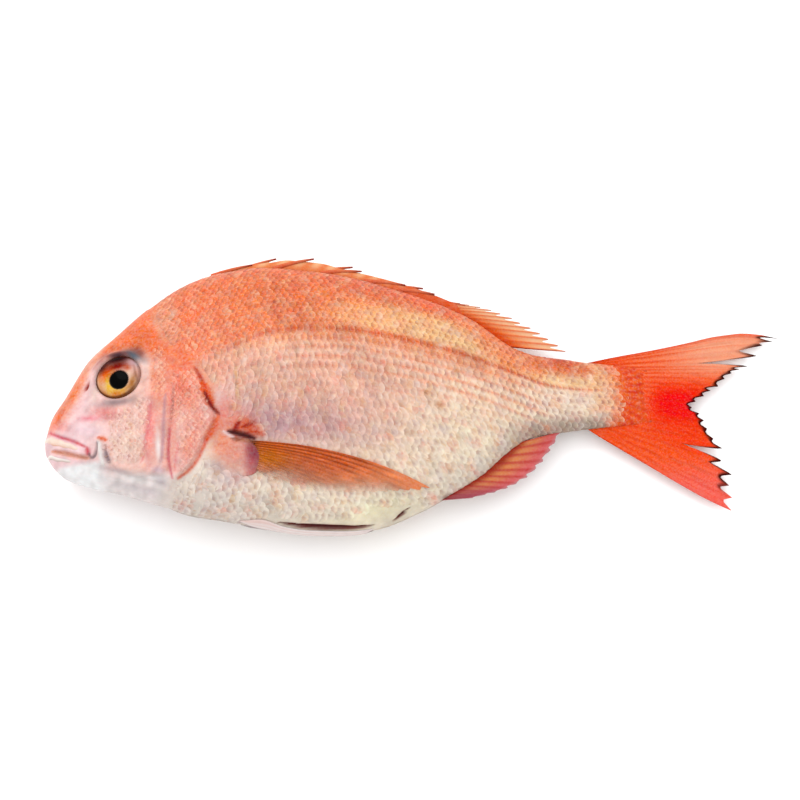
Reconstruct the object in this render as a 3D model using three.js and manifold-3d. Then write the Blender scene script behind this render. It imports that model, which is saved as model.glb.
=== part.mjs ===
// A whole raw sea bream, gutted, lying on its right side with its fins folded back.
// Millimetres. +X runs from the snout to the tail, +Y to the back and +Z up.
import * as THREE from 'three';
import { mergeVertices } from 'three/addons/utils/BufferGeometryUtils.js';
import Module from 'manifold-3d';

const wasm = await Module();
wasm.setup();

// Driving profiles: pairs of a station behind the snout tip and a size there.
const BACK_LINE = [
  [0, 1.4], [1, 5], [3, 10.8], [8.5, 19.2], [19, 35], [30, 44.5], [45, 56.5], [60, 65.2], [75, 69.8],
  [90, 71.4], [104, 69.9], [124, 66.1], [142, 60.4], [166, 50.8], [177, 44.6], [193, 32.2],
  [202, 28.8], [214, 26.8], [223, 25.2], [234, 23.8], [241, 22.6], [247, 21],
];
const BELLY_LINE = [
  [0, -4.2], [1.6, -7.5], [3.4, -10.4], [8.4, -15.2], [17, -19], [30, -22.9], [44, -28.2],
  [58, -34.6], [71, -37.4], [88, -41.2], [104, -44.2], [121, -45.2], [131, -44.2], [151, -37],
  [164, -29.9], [176, -22.6], [186, -14.1], [195, -8.1], [202, -6.3], [216, -4.6], [231, -3.4],
  [241, -2.8], [247, -1.8],
];
const HALF_WIDTH = [
  [0, 2.6], [1, 4.2], [5, 6.8], [12, 9.4], [25, 12.8], [40, 16], [60, 18.4], [80, 20.5], [100, 20.8],
  [125, 19], [150, 15.8], [175, 11.5], [195, 8], [215, 5.8], [230, 4.3], [240, 2.3], [247, 0.6],
];
const MID_HEIGHT = [
  [0, 18.2], [40, 19.2], [62, 20.4], [80, 19.2], [95, 18.7], [120, 18], [160, 15], [200, 10],
  [235, 6.5], [250, 5.4],
];
const BACK_POWER = [[0, 2.1], [30, 1.8], [90, 1.9], [200, 2.3], [247, 2]];
const BELLY_POWER = [[0, 2.1], [30, 2.3], [120, 2.2], [200, 2.4], [247, 2]];
const WIDEST_SHARE = 0.52;
const BODY_END = 247;

// The table flattens the flesh that would reach below it, softly over this height.
const SETTLE = 1.2;
const GAP = 0.3;

// Facets
const FLANK_FACETS = 17;
const HEAD_STEP = 4.4;
const HEAD_END = 62;
const TRUNK_STEP = 7.4;
const PLATE_EDGE = 22;
const LIP_STEPS = 13;

const EYE = { s: 31.2, h: 22.6, radius: 10.2, depth: 4.6, sunk: 2 };
const ORBIT_RIM = 1;

// Skin plates of the gill cover and the cheek, as outlines in s and h.
const GILL_COVER = [
  [46, 12], [50, 19], [57, 22], [63.4, 21], [65.2, 13.5], [66.4, 7], [69.9, 2.6], [67.4, -3],
  [61.2, -11], [58.5, -17.5], [54.2, -21.6], [50.5, -22.8], [47.5, -18], [44.5, -8],
];
const CHEEK_PLATE = [
  [42, 16], [48, 20.5], [52.4, 18.9], [51.4, 10.8], [48, 2.4], [45.2, -8], [41.4, -14.2],
  [36.5, -16.2], [30, -12], [28, -4], [32, 5],
];
const GILL_COVER_LIFT = 1.3;
const CHEEK_LIFT = 0.8;

const LIP_RADIUS = 1.9;
const JAW_RADIUS = 1.6;
const MOUTH_RADIUS = 0.75;

const SEED = 41;

const SKIN_COLOUR = 0xe9a68c;
const EYE_COLOUR = 0xd9b34a;

// A smooth line through pairs of station and size, flat where the sizes turn.
function profile(pairs) {
  const last = pairs.length - 1;
  const grades = [];
  for (let i = 0; i < last; i += 1) {
    grades.push((pairs[i + 1][1] - pairs[i][1]) / (pairs[i + 1][0] - pairs[i][0]));
  }
  const slopes = pairs.map((pair, i) => {
    if (i === 0) return grades[0];
    if (i === last) return grades[last - 1];
    const before = grades[i - 1];
    const after = grades[i];
    return before * after <= 0 ? 0 : (2 * before * after) / (before + after);
  });
  return (s) => {
    if (s <= pairs[0][0]) return pairs[0][1];
    if (s >= pairs[last][0]) return pairs[last][1];
    const i = pairs.findIndex((pair) => pair[0] > s) - 1;
    const span = pairs[i + 1][0] - pairs[i][0];
    const t = (s - pairs[i][0]) / span;
    const ease = t * t * (3 - 2 * t);
    const leave = t * (1 - t) * (1 - t) * span * slopes[i];
    const arrive = t * t * (t - 1) * span * slopes[i + 1];
    return pairs[i][1] * (1 - ease) + pairs[i + 1][1] * ease + leave + arrive;
  };
}

const backAt = profile(BACK_LINE);
const bellyAt = profile(BELLY_LINE);
const halfWidthAt = profile(HALF_WIDTH);
const midHeightAt = profile(MID_HEIGHT);
const backPowerAt = profile(BACK_POWER);
const bellyPowerAt = profile(BELLY_POWER);

let draw = SEED;
function random() {
  draw = (draw * 16807) % 2147483647;
  return draw / 2147483647;
}

function settled(z) {
  if (z >= SETTLE) return z;
  if (z <= -SETTLE) return 0;
  return (z + SETTLE) ** 2 / (4 * SETTLE);
}

function widestAt(s) {
  return THREE.MathUtils.lerp(bellyAt(s), backAt(s), WIDEST_SHARE);
}

// The round of the flesh: turn runs from -90 degrees at the belly to 90 at the back.
function flesh(s, turn, side) {
  const toBack = turn > 0;
  const reach = toBack ? backAt(s) - widestAt(s) : bellyAt(s) - widestAt(s);
  const power = toBack ? backPowerAt(s) : bellyPowerAt(s);
  const h = widestAt(s) + reach * Math.abs(Math.sin(turn)) ** (2 / power);
  return new THREE.Vector3(s, h, midHeightAt(s) + side * halfWidthAt(s) * Math.cos(turn));
}

// A point on the skin, or lifted off it along its normal. Side is 1 on the upper flank.
function skin(s, turn, side, lift = 0) {
  const at = flesh(s, turn, side);
  const along = flesh(s + 0.5, turn, side).sub(flesh(s - 0.5, turn, side));
  const round = flesh(s, turn + 0.03, side).sub(flesh(s, turn - 0.03, side));
  const normal = along.cross(round).normalize().multiplyScalar(side);
  at.addScaledVector(normal, lift);
  at.z = settled(at.z);
  return at;
}

// The turn at which the skin passes height h.
function turnAt(s, h) {
  const toBack = h > widestAt(s);
  const reach = toBack ? backAt(s) - widestAt(s) : bellyAt(s) - widestAt(s);
  const power = toBack ? backPowerAt(s) : bellyPowerAt(s);
  const share = THREE.MathUtils.clamp((h - widestAt(s)) / reach, 0, 1);
  return (toBack ? 1 : -1) * Math.asin(share ** (power / 2));
}

function onSkin(s, h, side, lift = 0) {
  return skin(s, turnAt(s, h), side, lift);
}

function solidFrom(geometry) {
  geometry.deleteAttribute('normal');
  geometry.deleteAttribute('uv');
  const merged = mergeVertices(geometry, 1e-4);
  const triVerts = new Uint32Array(merged.index.array);
  const vertProperties = new Float32Array(merged.attributes.position.array);
  const made = new wasm.Manifold(new wasm.Mesh({ numProp: 3, vertProperties, triVerts }));
  if (made.volume() > 0) return made;
  for (let i = 0; i < triVerts.length; i += 3) {
    [triVerts[i], triVerts[i + 1]] = [triVerts[i + 1], triVerts[i]];
  }
  return new wasm.Manifold(new wasm.Mesh({ numProp: 3, vertProperties, triVerts }));
}

function geometryFrom(points, faces) {
  const geometry = new THREE.BufferGeometry().setFromPoints(points);
  geometry.setIndex(faces);
  return geometry;
}

// A closed solid through rings of equally many points, with a fan over each end.
function loft(rings) {
  const count = rings[0].length;
  const points = rings.flat();
  const faces = [];
  for (let ring = 0; ring < rings.length - 1; ring += 1) {
    for (let i = 0; i < count; i += 1) {
      const a = ring * count + i;
      const b = ring * count + ((i + 1) % count);
      faces.push(a, b, b + count, a, b + count, a + count);
    }
  }
  [0, rings.length - 1].forEach((ring) => {
    const centre = new THREE.Vector3();
    rings[ring].forEach((point) => centre.addScaledVector(point, 1 / count));
    points.push(centre);
    for (let i = 0; i < count; i += 1) {
      const a = ring * count + i;
      const b = ring * count + ((i + 1) % count);
      faces.push(...(ring === 0 ? [points.length - 1, b, a] : [points.length - 1, a, b]));
    }
  });
  return solidFrom(geometryFrom(points, faces));
}

// A closed sheet between two grids of points, given as columns of equal length.
function sheet(top, bottom) {
  const columns = top.length;
  const rows = top[0].length;
  const points = [...top.flat(), ...bottom.flat()];
  const under = columns * rows;
  const faces = [];
  for (let c = 0; c < columns - 1; c += 1) {
    for (let r = 0; r < rows - 1; r += 1) {
      const a = c * rows + r;
      const b = a + rows;
      faces.push(a, b, b + 1, a, b + 1, a + 1);
      faces.push(under + a, under + b + 1, under + b, under + a, under + a + 1, under + b + 1);
    }
  }
  const rim = [];
  for (let c = 0; c < columns - 1; c += 1) rim.push(c * rows);
  for (let r = 0; r < rows - 1; r += 1) rim.push((columns - 1) * rows + r);
  for (let c = columns - 1; c > 0; c -= 1) rim.push(c * rows + rows - 1);
  for (let r = rows - 1; r > 0; r -= 1) rim.push(r);
  rim.forEach((a, i) => {
    const b = rim[(i + 1) % rim.length];
    faces.push(a, under + a, under + b, a, under + b, b);
  });
  return solidFrom(geometryFrom(points, faces));
}

// A plate of skin inside an outline, sunk into the flesh at its front and lifted at its rear edge.
function skinPlate(outline, side, liftAt) {
  const curve = new THREE.CatmullRomCurve3(outline.map(([s, h]) => new THREE.Vector3(s, h, 0)), true);
  const edge = curve.getSpacedPoints(PLATE_EDGE).slice(0, PLATE_EDGE);
  const centre = new THREE.Vector3();
  edge.forEach((point) => centre.addScaledVector(point, 1 / edge.length));
  const layer = (lift, shares) => shares.map((share) => edge.map((point) => {
    const at = centre.clone().lerp(point, share);
    return onSkin(at.x, at.y, side, lift(at.x, at.y));
  }));
  return loft([...layer(() => -1.4, [0.9]), ...layer(liftAt, [1, 0.6])]);
}

function tube(points, radius, steps) {
  const path = new THREE.CatmullRomCurve3(points);
  const shape = new THREE.Shape().absarc(0, 0, radius, 0, 2 * Math.PI);
  return solidFrom(new THREE.ExtrudeGeometry(shape, { steps, curveSegments: 4, extrudePath: path }));
}

function spike(root, tip, radius) {
  const length = root.distanceTo(tip);
  const geometry = new THREE.CylinderGeometry(radius * 0.35, radius, length, 5);
  const turn = new THREE.Quaternion().setFromUnitVectors(
    new THREE.Vector3(0, 1, 0),
    tip.clone().sub(root).normalize(),
  );
  geometry.applyQuaternion(turn);
  const middle = root.clone().lerp(tip, 0.5);
  return solidFrom(geometry.translate(middle.x, middle.y, middle.z));
}

// A fin on its rays: a crest along each ray, a valley between two, and toothed tips.
function rayFin(rays, steps, notch, faceAt) {
  const top = [];
  const bottom = [];
  for (let column = 0; column < 2 * rays.length - 1; column += 1) {
    const crest = column % 2 === 0;
    const near = rays[Math.floor(column / 2)];
    const far = rays[Math.ceil(column / 2)];
    const faces = [];
    for (let step = 0; step <= steps; step += 1) {
      const t = (step / steps) * (crest ? 1 : 1 - notch);
      faces.push(faceAt(near.getPoint(t).lerp(far.getPoint(t), 0.5), crest, t));
    }
    top.push(faces.map((pair) => pair[0]));
    bottom.push(faces.map((pair) => pair[1]));
  }
  return sheet(top, bottom);
}

// Rays from a line of roots to a line of tips, each bowed sideways by bowAt of its share.
function rays(count, rootAt, tipLine, bowAt) {
  const tips = new THREE.SplineCurve(tipLine.map(([s, h]) => new THREE.Vector2(s, h)));
  return Array.from({ length: count }, (_, i) => {
    const share = i / (count - 1);
    const root = rootAt(share);
    const tip = tips.getPoint(share);
    const knee = root.clone().lerp(tip, 0.5);
    const across = tip.clone().sub(root).rotateAround(new THREE.Vector2(), Math.PI / 2).normalize();
    knee.addScaledVector(across, bowAt(share));
    return new THREE.QuadraticBezierCurve(root, knee, tip);
  });
}

function body() {
  const stations = [0, 1, 2.4, 4.4, 7];
  while (stations.at(-1) < BODY_END - 4) {
    stations.push(stations.at(-1) + (stations.at(-1) < HEAD_END ? HEAD_STEP : TRUNK_STEP));
  }
  stations.push(BODY_END);
  return loft(stations.map((s) => {
    const ring = [];
    for (let i = 0; i < FLANK_FACETS; i += 1) {
      ring.push(skin(s, Math.PI * (i / FLANK_FACETS - 0.5), 1));
    }
    for (let i = 0; i < FLANK_FACETS; i += 1) {
      ring.push(skin(s, Math.PI * (0.5 - i / FLANK_FACETS), -1));
    }
    return ring;
  }));
}

// The tail fin stands on the end of the flesh and droops to the table at its tips.
const TAIL_TIPS = [
  [303, 33], [296, 31.5], [291.4, 26], [287, 21], [277, 16], [267.5, 8.5], [264.2, 4], [267, -2],
  [270.5, -9.4], [273.5, -14], [276.2, -22], [277.2, -29], [275.6, -41.4],
];
const TAIL_ROOT = { s: 225, h: 10.4, reachS: 15, reachH: 14.6, spread: 98 };
const TAIL_RAYS = 17;
const TAIL_SPLITS = [
  { end: [269.4, 24.6], mouth: [[296, 24.4], [292, 20.6]] },
  { end: [258.2, -11.6], mouth: [[281, -15.2], [279, -18.6]] },
  { end: [281, 29.4], mouth: [[301, 30.2], [299, 27.2]] },
];
const tailHeightAt = profile([[220, 7.4], [245, 5.6], [265, 4.2], [285, 3.2], [304, 2.6]]);

function tailFin() {
  const rootAt = (share) => {
    const turn = THREE.MathUtils.degToRad(TAIL_ROOT.spread * (1 - 2 * share));
    return new THREE.Vector2(
      TAIL_ROOT.s + TAIL_ROOT.reachS * Math.cos(turn),
      TAIL_ROOT.h + TAIL_ROOT.reachH * Math.sin(turn),
    );
  };
  const bow = (share) => 9 * Math.max(0, 1 - 2.4 * share) ** 2;
  let fin = rayFin(rays(TAIL_RAYS, rootAt, TAIL_TIPS, bow), 5, 0.035, (at, crest, t) => {
    const z = tailHeightAt(at.x) + 0.5 * Math.sin(at.y * 0.16);
    const half = (crest ? 0.95 : 0.55) * (1 - 0.55 * t);
    return [new THREE.Vector3(at.x, at.y, z + half), new THREE.Vector3(at.x, at.y, z - half)];
  });
  TAIL_SPLITS.forEach(({ end, mouth }) => {
    const shape = new THREE.Shape([end, ...mouth].map(([s, h]) => new THREE.Vector2(s, h)));
    fin = fin.subtract(solidFrom(new THREE.ExtrudeGeometry(shape, { depth: 20, bevelEnabled: false })));
  });
  return fin;
}

// Folded fins along the middle line: rays from inside the flesh out to a line of tips.
function middleFin(count, lineAt, inset, from, to, tips, tilt) {
  const rootAt = (share) => {
    const s = THREE.MathUtils.lerp(from, to, share);
    return new THREE.Vector2(s, lineAt(s) + inset);
  };
  return rayFin(rays(count, rootAt, tips, () => 0), 3, 0.06, (at, crest, t) => {
    const z = midHeightAt(at.x) - tilt * Math.abs(at.y - lineAt(at.x));
    const half = (crest ? 0.85 : 0.5) * (1 - 0.4 * t);
    return [new THREE.Vector3(at.x, at.y, z + half), new THREE.Vector3(at.x, at.y, z - half)];
  });
}

const SOFT_DORSAL_TIPS = [[172, 52.8], [182, 51], [190.5, 48], [198, 43.6], [205, 39.1], [209, 35.6], [215, 30.4]];
const ANAL_TIPS = [[171, -31.8], [180.4, -29], [187.5, -25.4], [194.5, -20], [197, -16], [201.4, -11.4], [209.9, -4.4]];

// The folded spines of the back lie one behind the other along a low web.
const SPINE_TIPS = [
  [87.4, 73], [97.4, 75.6], [113, 74.3], [128.8, 70.2], [132.4, 67.8], [139.4, 64.4],
  [150, 61], [157.2, 59.7], [161.8, 56.6], [174, 51.6],
];
const SPINE_LENGTH = 17;
const webAt = profile([[66, 0.2], [80, 1.6], [95, 2], [125, 2.4], [150, 2.8], [168, 2.4]]);

function spinyFin() {
  const top = [];
  const bottom = [];
  for (let s = 66; s <= 168; s += 6) {
    const rows = [-2, 0, webAt(s) + 0.35 * random()];
    const z = midHeightAt(s);
    top.push(rows.map((rise) => new THREE.Vector3(s, backAt(s) + rise, z + 0.9)));
    bottom.push(rows.map((rise) => new THREE.Vector3(s, backAt(s) + rise, z - 0.9)));
  }
  let fin = sheet(top, bottom);
  SPINE_TIPS.forEach(([s, h], i) => {
    const from = s - SPINE_LENGTH;
    const aside = i % 2 === 0 ? 0.5 : -0.5;
    const root = new THREE.Vector3(from, backAt(from) - 0.4, midHeightAt(from) + aside);
    fin = fin.add(spike(root, new THREE.Vector3(s, h, midHeightAt(s) + aside), 1.15));
  });
  return fin;
}

const ANAL_SPINES = [[[160.5, -29.5], [173.5, -31.6]], [[163, -27.5], [181.5, -29.2]]];

function analSpines() {
  return ANAL_SPINES.map(([root, tip]) => spike(
    new THREE.Vector3(root[0], root[1], midHeightAt(root[0])),
    new THREE.Vector3(tip[0], tip[1], midHeightAt(tip[0]) - 0.4),
    1.2,
  ));
}

// The paired fins lie back against the flanks, so their inner face is in the flesh.
const BREAST_FIN_TIPS = [
  [153.6, -29.8], [147, -31], [137.5, -31.8], [129.5, -32.2], [121.5, -32], [113.5, -31.2],
  [106, -29.8], [98, -27.8], [91, -25.8],
];
const BREAST_FIN_ROOT = { from: [82.5, -10], to: [84, -21] };

function breastFin(side) {
  const { from, to } = BREAST_FIN_ROOT;
  const rootAt = (share) => new THREE.Vector2(...from).lerp(new THREE.Vector2(...to), share);
  const bow = (share) => 6.4 * (1 - share) ** 1.2;
  return rayFin(rays(8, rootAt, BREAST_FIN_TIPS, bow), 5, 0.05, (at, crest, t) => {
    const lift = (crest ? 1.15 : 0.75) * (1 - 0.35 * t);
    return [onSkin(at.x, at.y, side, lift), onSkin(at.x, at.y, side, -0.9)];
  });
}

// The fleshy lobe that the breast fin swings on.
const LOBE = { s: 81, h: -16.4, reachS: 6.6, reachH: 7.4, lift: 1.9 };

function breastLobe(side) {
  const outline = Array.from({ length: 12 }, (_, i) => {
    const turn = (i / 12) * 2 * Math.PI;
    return [LOBE.s + LOBE.reachS * Math.cos(turn), LOBE.h + LOBE.reachH * Math.sin(turn)];
  });
  return skinPlate(outline, side, (s, h) => {
    const out = ((s - LOBE.s) / LOBE.reachS) ** 2 + ((h - LOBE.h) / LOBE.reachH) ** 2;
    return LOBE.lift * Math.sqrt(Math.max(0, 1 - out)) - 0.3;
  });
}

// The belly fins lie folded along the keel, between two lines given in degrees up from it.
const BELLY_FIN = { from: 77, to: 130, lift: 0.6, underTurn: 9 };
const bellyFinTop = profile([[77, 8], [86, 15], [95, 9.5], [105, 7.6], [125, 6], [130, 4]]);
const bellyFinLow = profile([[77, 6], [86, -4], [105, -8], [124, -6], [130, 2]]);

function bellyFin(side) {
  const top = [];
  const bottom = [];
  const columns = 13;
  for (let c = 0; c <= columns; c += 1) {
    const t = c / columns;
    const s = THREE.MathUtils.lerp(BELLY_FIN.from, BELLY_FIN.to, t);
    const spread = bellyFinTop(s) - bellyFinLow(s);
    const low = side > 0 ? bellyFinLow(s) : BELLY_FIN.underTurn;
    const turns = [0, 0.25, 0.5, 0.75, 1].map((share) => THREE.MathUtils.degToRad(low - 90 + share * spread));
    const lift = BELLY_FIN.lift * (1 - 0.3 * t);
    top.push(turns.map((turn, i) => skin(s, turn, side, lift * (i % 2 === 0 ? 0.8 : 1.1))));
    bottom.push(turns.map((turn) => skin(s, turn, side, -0.8)));
  }
  return sheet(top, bottom);
}

// A cut that tapers to nothing at both ends, along the keel.
function slit(from, to, halfWidth, depth, turnDegrees) {
  const turn = THREE.MathUtils.degToRad(turnDegrees - 90);
  const rings = [];
  const steps = 12;
  for (let i = 0; i <= steps; i += 1) {
    const s = THREE.MathUtils.lerp(from, to, i / steps);
    const open = Math.max(0.06, Math.sin((Math.PI * i) / steps));
    const wide = (halfWidth * open) / Math.max(halfWidthAt(s), 1);
    rings.push([
      skin(s, turn - wide, 1, 1),
      skin(s, turn + wide, 1, 1),
      skin(s, turn, 1, -depth * open),
    ]);
  }
  return loft(rings);
}

const CUTS = [
  { from: 94, to: 130, halfWidth: 1.3, depth: 6, turn: 11 },
  { from: 138.5, to: 145, halfWidth: 0.8, depth: 3, turn: 13 },
];

// Lips and mouth line run from the corner of the mouth round the snout to the other corner.
const UPPER_LIP = [[17.2, -5.6], [12, -3.4], [7, -1.9], [2.6, -0.9]];
const MOUTH_LINE = [[17.6, -8.3], [12, -7], [6.5, -5.6], [2, -4.6]];
const LOWER_LIP = [[16.6, -11], [11, -10], [6, -8.6], [2.8, -7.6]];

function roundSnout(line, lift, endLift) {
  const flank = (side) => line.map(([s, h], i) => onSkin(s, h, side, i === 0 ? endLift : lift));
  const [, front] = line.at(-1);
  const tip = new THREE.Vector3(-lift * 0.6, front + 0.4, midHeightAt(0));
  return [...flank(1), tip, ...flank(-1).reverse()];
}

const NOSTRILS = [[18, 21]];

function nostril([s, h], side) {
  const pit = new THREE.SphereGeometry(1, 8, 6).scale(1.7, 0.8, 1.4);
  const at = onSkin(s, h, side, 0.1);
  return solidFrom(pit.translate(at.x, at.y, at.z));
}

function eyePlace(side, lift) {
  const at = onSkin(EYE.s, EYE.h, side, lift);
  const normal = onSkin(EYE.s, EYE.h, side, 2).sub(onSkin(EYE.s, EYE.h, side)).normalize();
  const turn = new THREE.Quaternion().setFromUnitVectors(new THREE.Vector3(0, 0, 1), normal);
  return new THREE.Matrix4().compose(at, turn, new THREE.Vector3(1, 1, 1));
}

function eyeball(side, extra) {
  const ball = new THREE.SphereGeometry(1, 20, 10).rotateX(Math.PI / 2);
  ball.scale(EYE.radius + extra, EYE.radius + extra, EYE.depth + extra);
  return solidFrom(ball.applyMatrix4(eyePlace(side, -EYE.sunk)));
}

function orbit(side) {
  const ring = new THREE.TorusGeometry(EYE.radius + 0.4, ORBIT_RIM, 4, 20);
  return solidFrom(ring.applyMatrix4(eyePlace(side, 0)));
}

function gillCover(side) {
  return skinPlate(GILL_COVER, side, (s) => (
    THREE.MathUtils.clamp((s - 46) / 14, -0.3, 1) * GILL_COVER_LIFT
  ));
}

function cheek(side) {
  return skinPlate(CHEEK_PLATE, side, (s, h) => (
    THREE.MathUtils.clamp((s - 33 - 0.25 * h) / 14, -0.4, 1) * CHEEK_LIFT
  ));
}

function fish() {
  const pieces = [tailFin(), spinyFin(), ...analSpines()];
  pieces.push(middleFin(10, backAt, -2.2, 163, 195, SOFT_DORSAL_TIPS, 0.12));
  pieces.push(middleFin(9, bellyAt, 2.2, 165, 195, ANAL_TIPS, 0.12));
  pieces.push(tube(roundSnout(UPPER_LIP, -0.9, -2), LIP_RADIUS, LIP_STEPS));
  pieces.push(tube(roundSnout(LOWER_LIP, -0.8, -1.8), JAW_RADIUS, LIP_STEPS));
  [1, -1].forEach((side) => {
    pieces.push(gillCover(side), cheek(side), orbit(side));
    pieces.push(breastFin(side), breastLobe(side), bellyFin(side));
  });
  let whole = pieces.reduce((sum, piece) => sum.add(piece), body());
  whole = whole.subtract(tube(roundSnout(MOUTH_LINE, 0, 1.2), MOUTH_RADIUS, LIP_STEPS));
  CUTS.forEach((cut) => {
    whole = whole.subtract(slit(cut.from, cut.to, cut.halfWidth, cut.depth, cut.turn));
  });
  [1, -1].forEach((side) => {
    whole = whole.subtract(eyeball(side, GAP));
    NOSTRILS.forEach((place) => {
      whole = whole.subtract(nostril(place, side));
    });
  });
  return whole;
}

function meshFrom(solid, name, material) {
  const { vertProperties, triVerts } = solid.getMesh();
  const geometry = new THREE.BufferGeometry();
  geometry.setAttribute('position', new THREE.Float32BufferAttribute(vertProperties, 3));
  geometry.setIndex(new THREE.Uint32BufferAttribute(triVerts, 1));
  geometry.computeVertexNormals();
  const mesh = new THREE.Mesh(geometry, material);
  mesh.name = name;
  return mesh;
}

const skinMaterial = new THREE.MeshStandardMaterial({ color: SKIN_COLOUR, roughness: 0.35, metalness: 0 });
const eyeMaterial = new THREE.MeshStandardMaterial({ color: EYE_COLOUR, roughness: 0.1, metalness: 0 });

const group = new THREE.Group();
group.add(meshFrom(fish(), 'fish', skinMaterial));
group.add(meshFrom(eyeball(1, 0), 'eye_left', eyeMaterial));
group.add(meshFrom(eyeball(-1, 0), 'eye_right', eyeMaterial));

// The origin is under the middle of the whole, on the table.
const box = new THREE.Box3().setFromObject(group, true);
const middle = box.getCenter(new THREE.Vector3());
group.position.set(-middle.x, -middle.y, -box.min.z);

export default group;
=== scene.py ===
import math

import bpy
import numpy as np
from mathutils import Matrix, Vector


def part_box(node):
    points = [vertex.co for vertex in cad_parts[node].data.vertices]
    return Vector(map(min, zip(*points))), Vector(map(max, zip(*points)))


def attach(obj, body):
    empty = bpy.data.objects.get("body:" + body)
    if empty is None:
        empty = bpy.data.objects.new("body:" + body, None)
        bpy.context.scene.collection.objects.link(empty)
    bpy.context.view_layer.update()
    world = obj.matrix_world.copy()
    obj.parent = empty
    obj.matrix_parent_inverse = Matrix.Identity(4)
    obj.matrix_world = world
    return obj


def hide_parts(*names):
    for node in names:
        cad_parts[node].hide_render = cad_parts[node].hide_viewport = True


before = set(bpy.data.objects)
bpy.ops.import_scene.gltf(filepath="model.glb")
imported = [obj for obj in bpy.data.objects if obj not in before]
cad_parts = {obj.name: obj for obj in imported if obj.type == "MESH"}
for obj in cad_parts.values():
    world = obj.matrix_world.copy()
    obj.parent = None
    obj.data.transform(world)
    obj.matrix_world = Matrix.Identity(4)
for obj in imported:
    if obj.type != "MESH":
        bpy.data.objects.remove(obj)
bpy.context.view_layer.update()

# A whole raw sea bream lying on its right side. Fish measures are in millimetres: s runs from
# the snout tip to the tail, h from the mouth line to the back, z up from the table.
MM = 0.001

BACK_LINE = [
    (0, 1.4), (1, 5), (3, 10.8), (8.5, 19.2), (19, 35), (30, 44.5), (45, 56.5), (60, 65.2), (75, 69.8),
    (90, 71.4), (104, 69.9), (124, 66.1), (142, 60.4), (166, 50.8), (177, 44.6), (193, 32.2),
    (202, 28.8), (214, 26.8), (223, 25.2), (234, 23.8), (241, 22.6), (247, 21),
]
BELLY_LINE = [
    (0, -4.2), (1.6, -7.5), (3.4, -10.4), (8.4, -15.2), (17, -19), (30, -22.9), (44, -28.2),
    (58, -34.6), (71, -37.4), (88, -41.2), (104, -44.2), (121, -45.2), (131, -44.2), (151, -37),
    (164, -29.9), (176, -22.6), (186, -14.1), (195, -8.1), (202, -6.3), (216, -4.6), (231, -3.4),
    (241, -2.8), (247, -1.8),
]
HALF_WIDTH = [
    (0, 2.6), (1, 4.2), (5, 6.8), (12, 9.4), (25, 12.8), (40, 16), (60, 18.4), (80, 20.5), (100, 20.8),
    (125, 19), (150, 15.8), (175, 11.5), (195, 8), (215, 5.8), (230, 4.3), (240, 2.3), (247, 0.4),
]
MID_HEIGHT = [
    (0, 18.2), (40, 19.2), (62, 20.4), (80, 19.2), (95, 18.7), (120, 18), (160, 15), (200, 10),
    (235, 6.5), (250, 5.4),
]
BACK_POWER = [(0, 2.1), (30, 1.8), (90, 1.9), (200, 2.3), (247, 2)]
BELLY_POWER = [(0, 2.1), (30, 2.3), (120, 2.2), (200, 2.4), (247, 2)]
WIDEST_SHARE = 0.52
BODY_END = 247
SETTLE = 1.2

EYE = {"s": 31.2, "h": 22.6, "radius": 10.2, "depth": 4.6, "sunk": 2.0}

# Where the lateral line runs on the flank, and the edges of the gill cover and cheek.
LATERAL_LINE = [
    (50, 19), (58, 21), (67, 24.8), (73, 27.4), (79.5, 30.7), (88.5, 34.9), (97, 36.6), (106, 37.1),
    (125, 36.3), (136, 34.4), (151, 31.2), (168, 26.8), (184, 21.6), (196, 16.8), (204, 13.6), (216, 11.8),
    (226, 11.4), (247, 10.4),
]
GILL_EDGE = [
    (57.5, 27), (61, 23), (63.2, 19.6), (65.6, 14.5), (66.6, 10.5), (67.8, 6), (70.2, 1), (68.6, -2.4),
    (65.5, -6.8), (62.5, -11.5), (60.2, -15.8), (57.4, -19), (54.4, -20.9), (51.6, -22),
]
CHEEK_EDGE = [
    (52.6, 17), (50.2, 11), (49.2, 2), (48.6, -6.7), (47.2, -14.6), (44.5, -18.4), (39, -19.4), (32, -17.6),
    (27, -15.4),
]
GILL_LIFT = 1.3
CHEEK_LIFT = 0.8


# Profiles and the round of the flesh

def profile(pairs):
    """A smooth line through pairs of station and size, flat where the sizes turn."""
    at = np.array([p[0] for p in pairs], float)
    size = np.array([p[1] for p in pairs], float)
    grade = np.diff(size) / np.diff(at)
    slope = np.zeros(len(at))
    slope[0], slope[-1] = grade[0], grade[-1]
    same = grade[:-1] * grade[1:] > 0
    total = np.where(same, grade[:-1] + grade[1:], 1)
    slope[1:-1] = np.where(same, 2 * grade[:-1] * grade[1:] / total, 0)

    def value(s):
        s = np.clip(np.asarray(s, float), at[0], at[-1])
        i = np.clip(np.searchsorted(at, s, side="right") - 1, 0, len(at) - 2)
        span = at[i + 1] - at[i]
        t = (s - at[i]) / span
        ease = t * t * (3 - 2 * t)
        leave = t * (1 - t) ** 2 * span * slope[i]
        arrive = t * t * (t - 1) * span * slope[i + 1]
        return size[i] * (1 - ease) + size[i + 1] * ease + leave + arrive

    return value


back_at = profile(BACK_LINE)
belly_at = profile(BELLY_LINE)
half_width_at = profile(HALF_WIDTH)
mid_height_at = profile(MID_HEIGHT)
back_power_at = profile(BACK_POWER)
belly_power_at = profile(BELLY_POWER)
lateral_at = profile(LATERAL_LINE)


def smooth(low, high, x):
    t = np.clip((np.asarray(x, float) - low) / (high - low), 0, 1)
    return t * t * (3 - 2 * t)


def fade(low, high, x):
    return 1 - smooth(low, high, x)


def between(rise, risen, fall, fallen, x):
    """Rises from 0 to 1, holds, and falls again."""
    return smooth(rise, risen, x) * fade(fall, fallen, x)


def bell(x):
    return np.exp(-(x ** 2))


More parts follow.
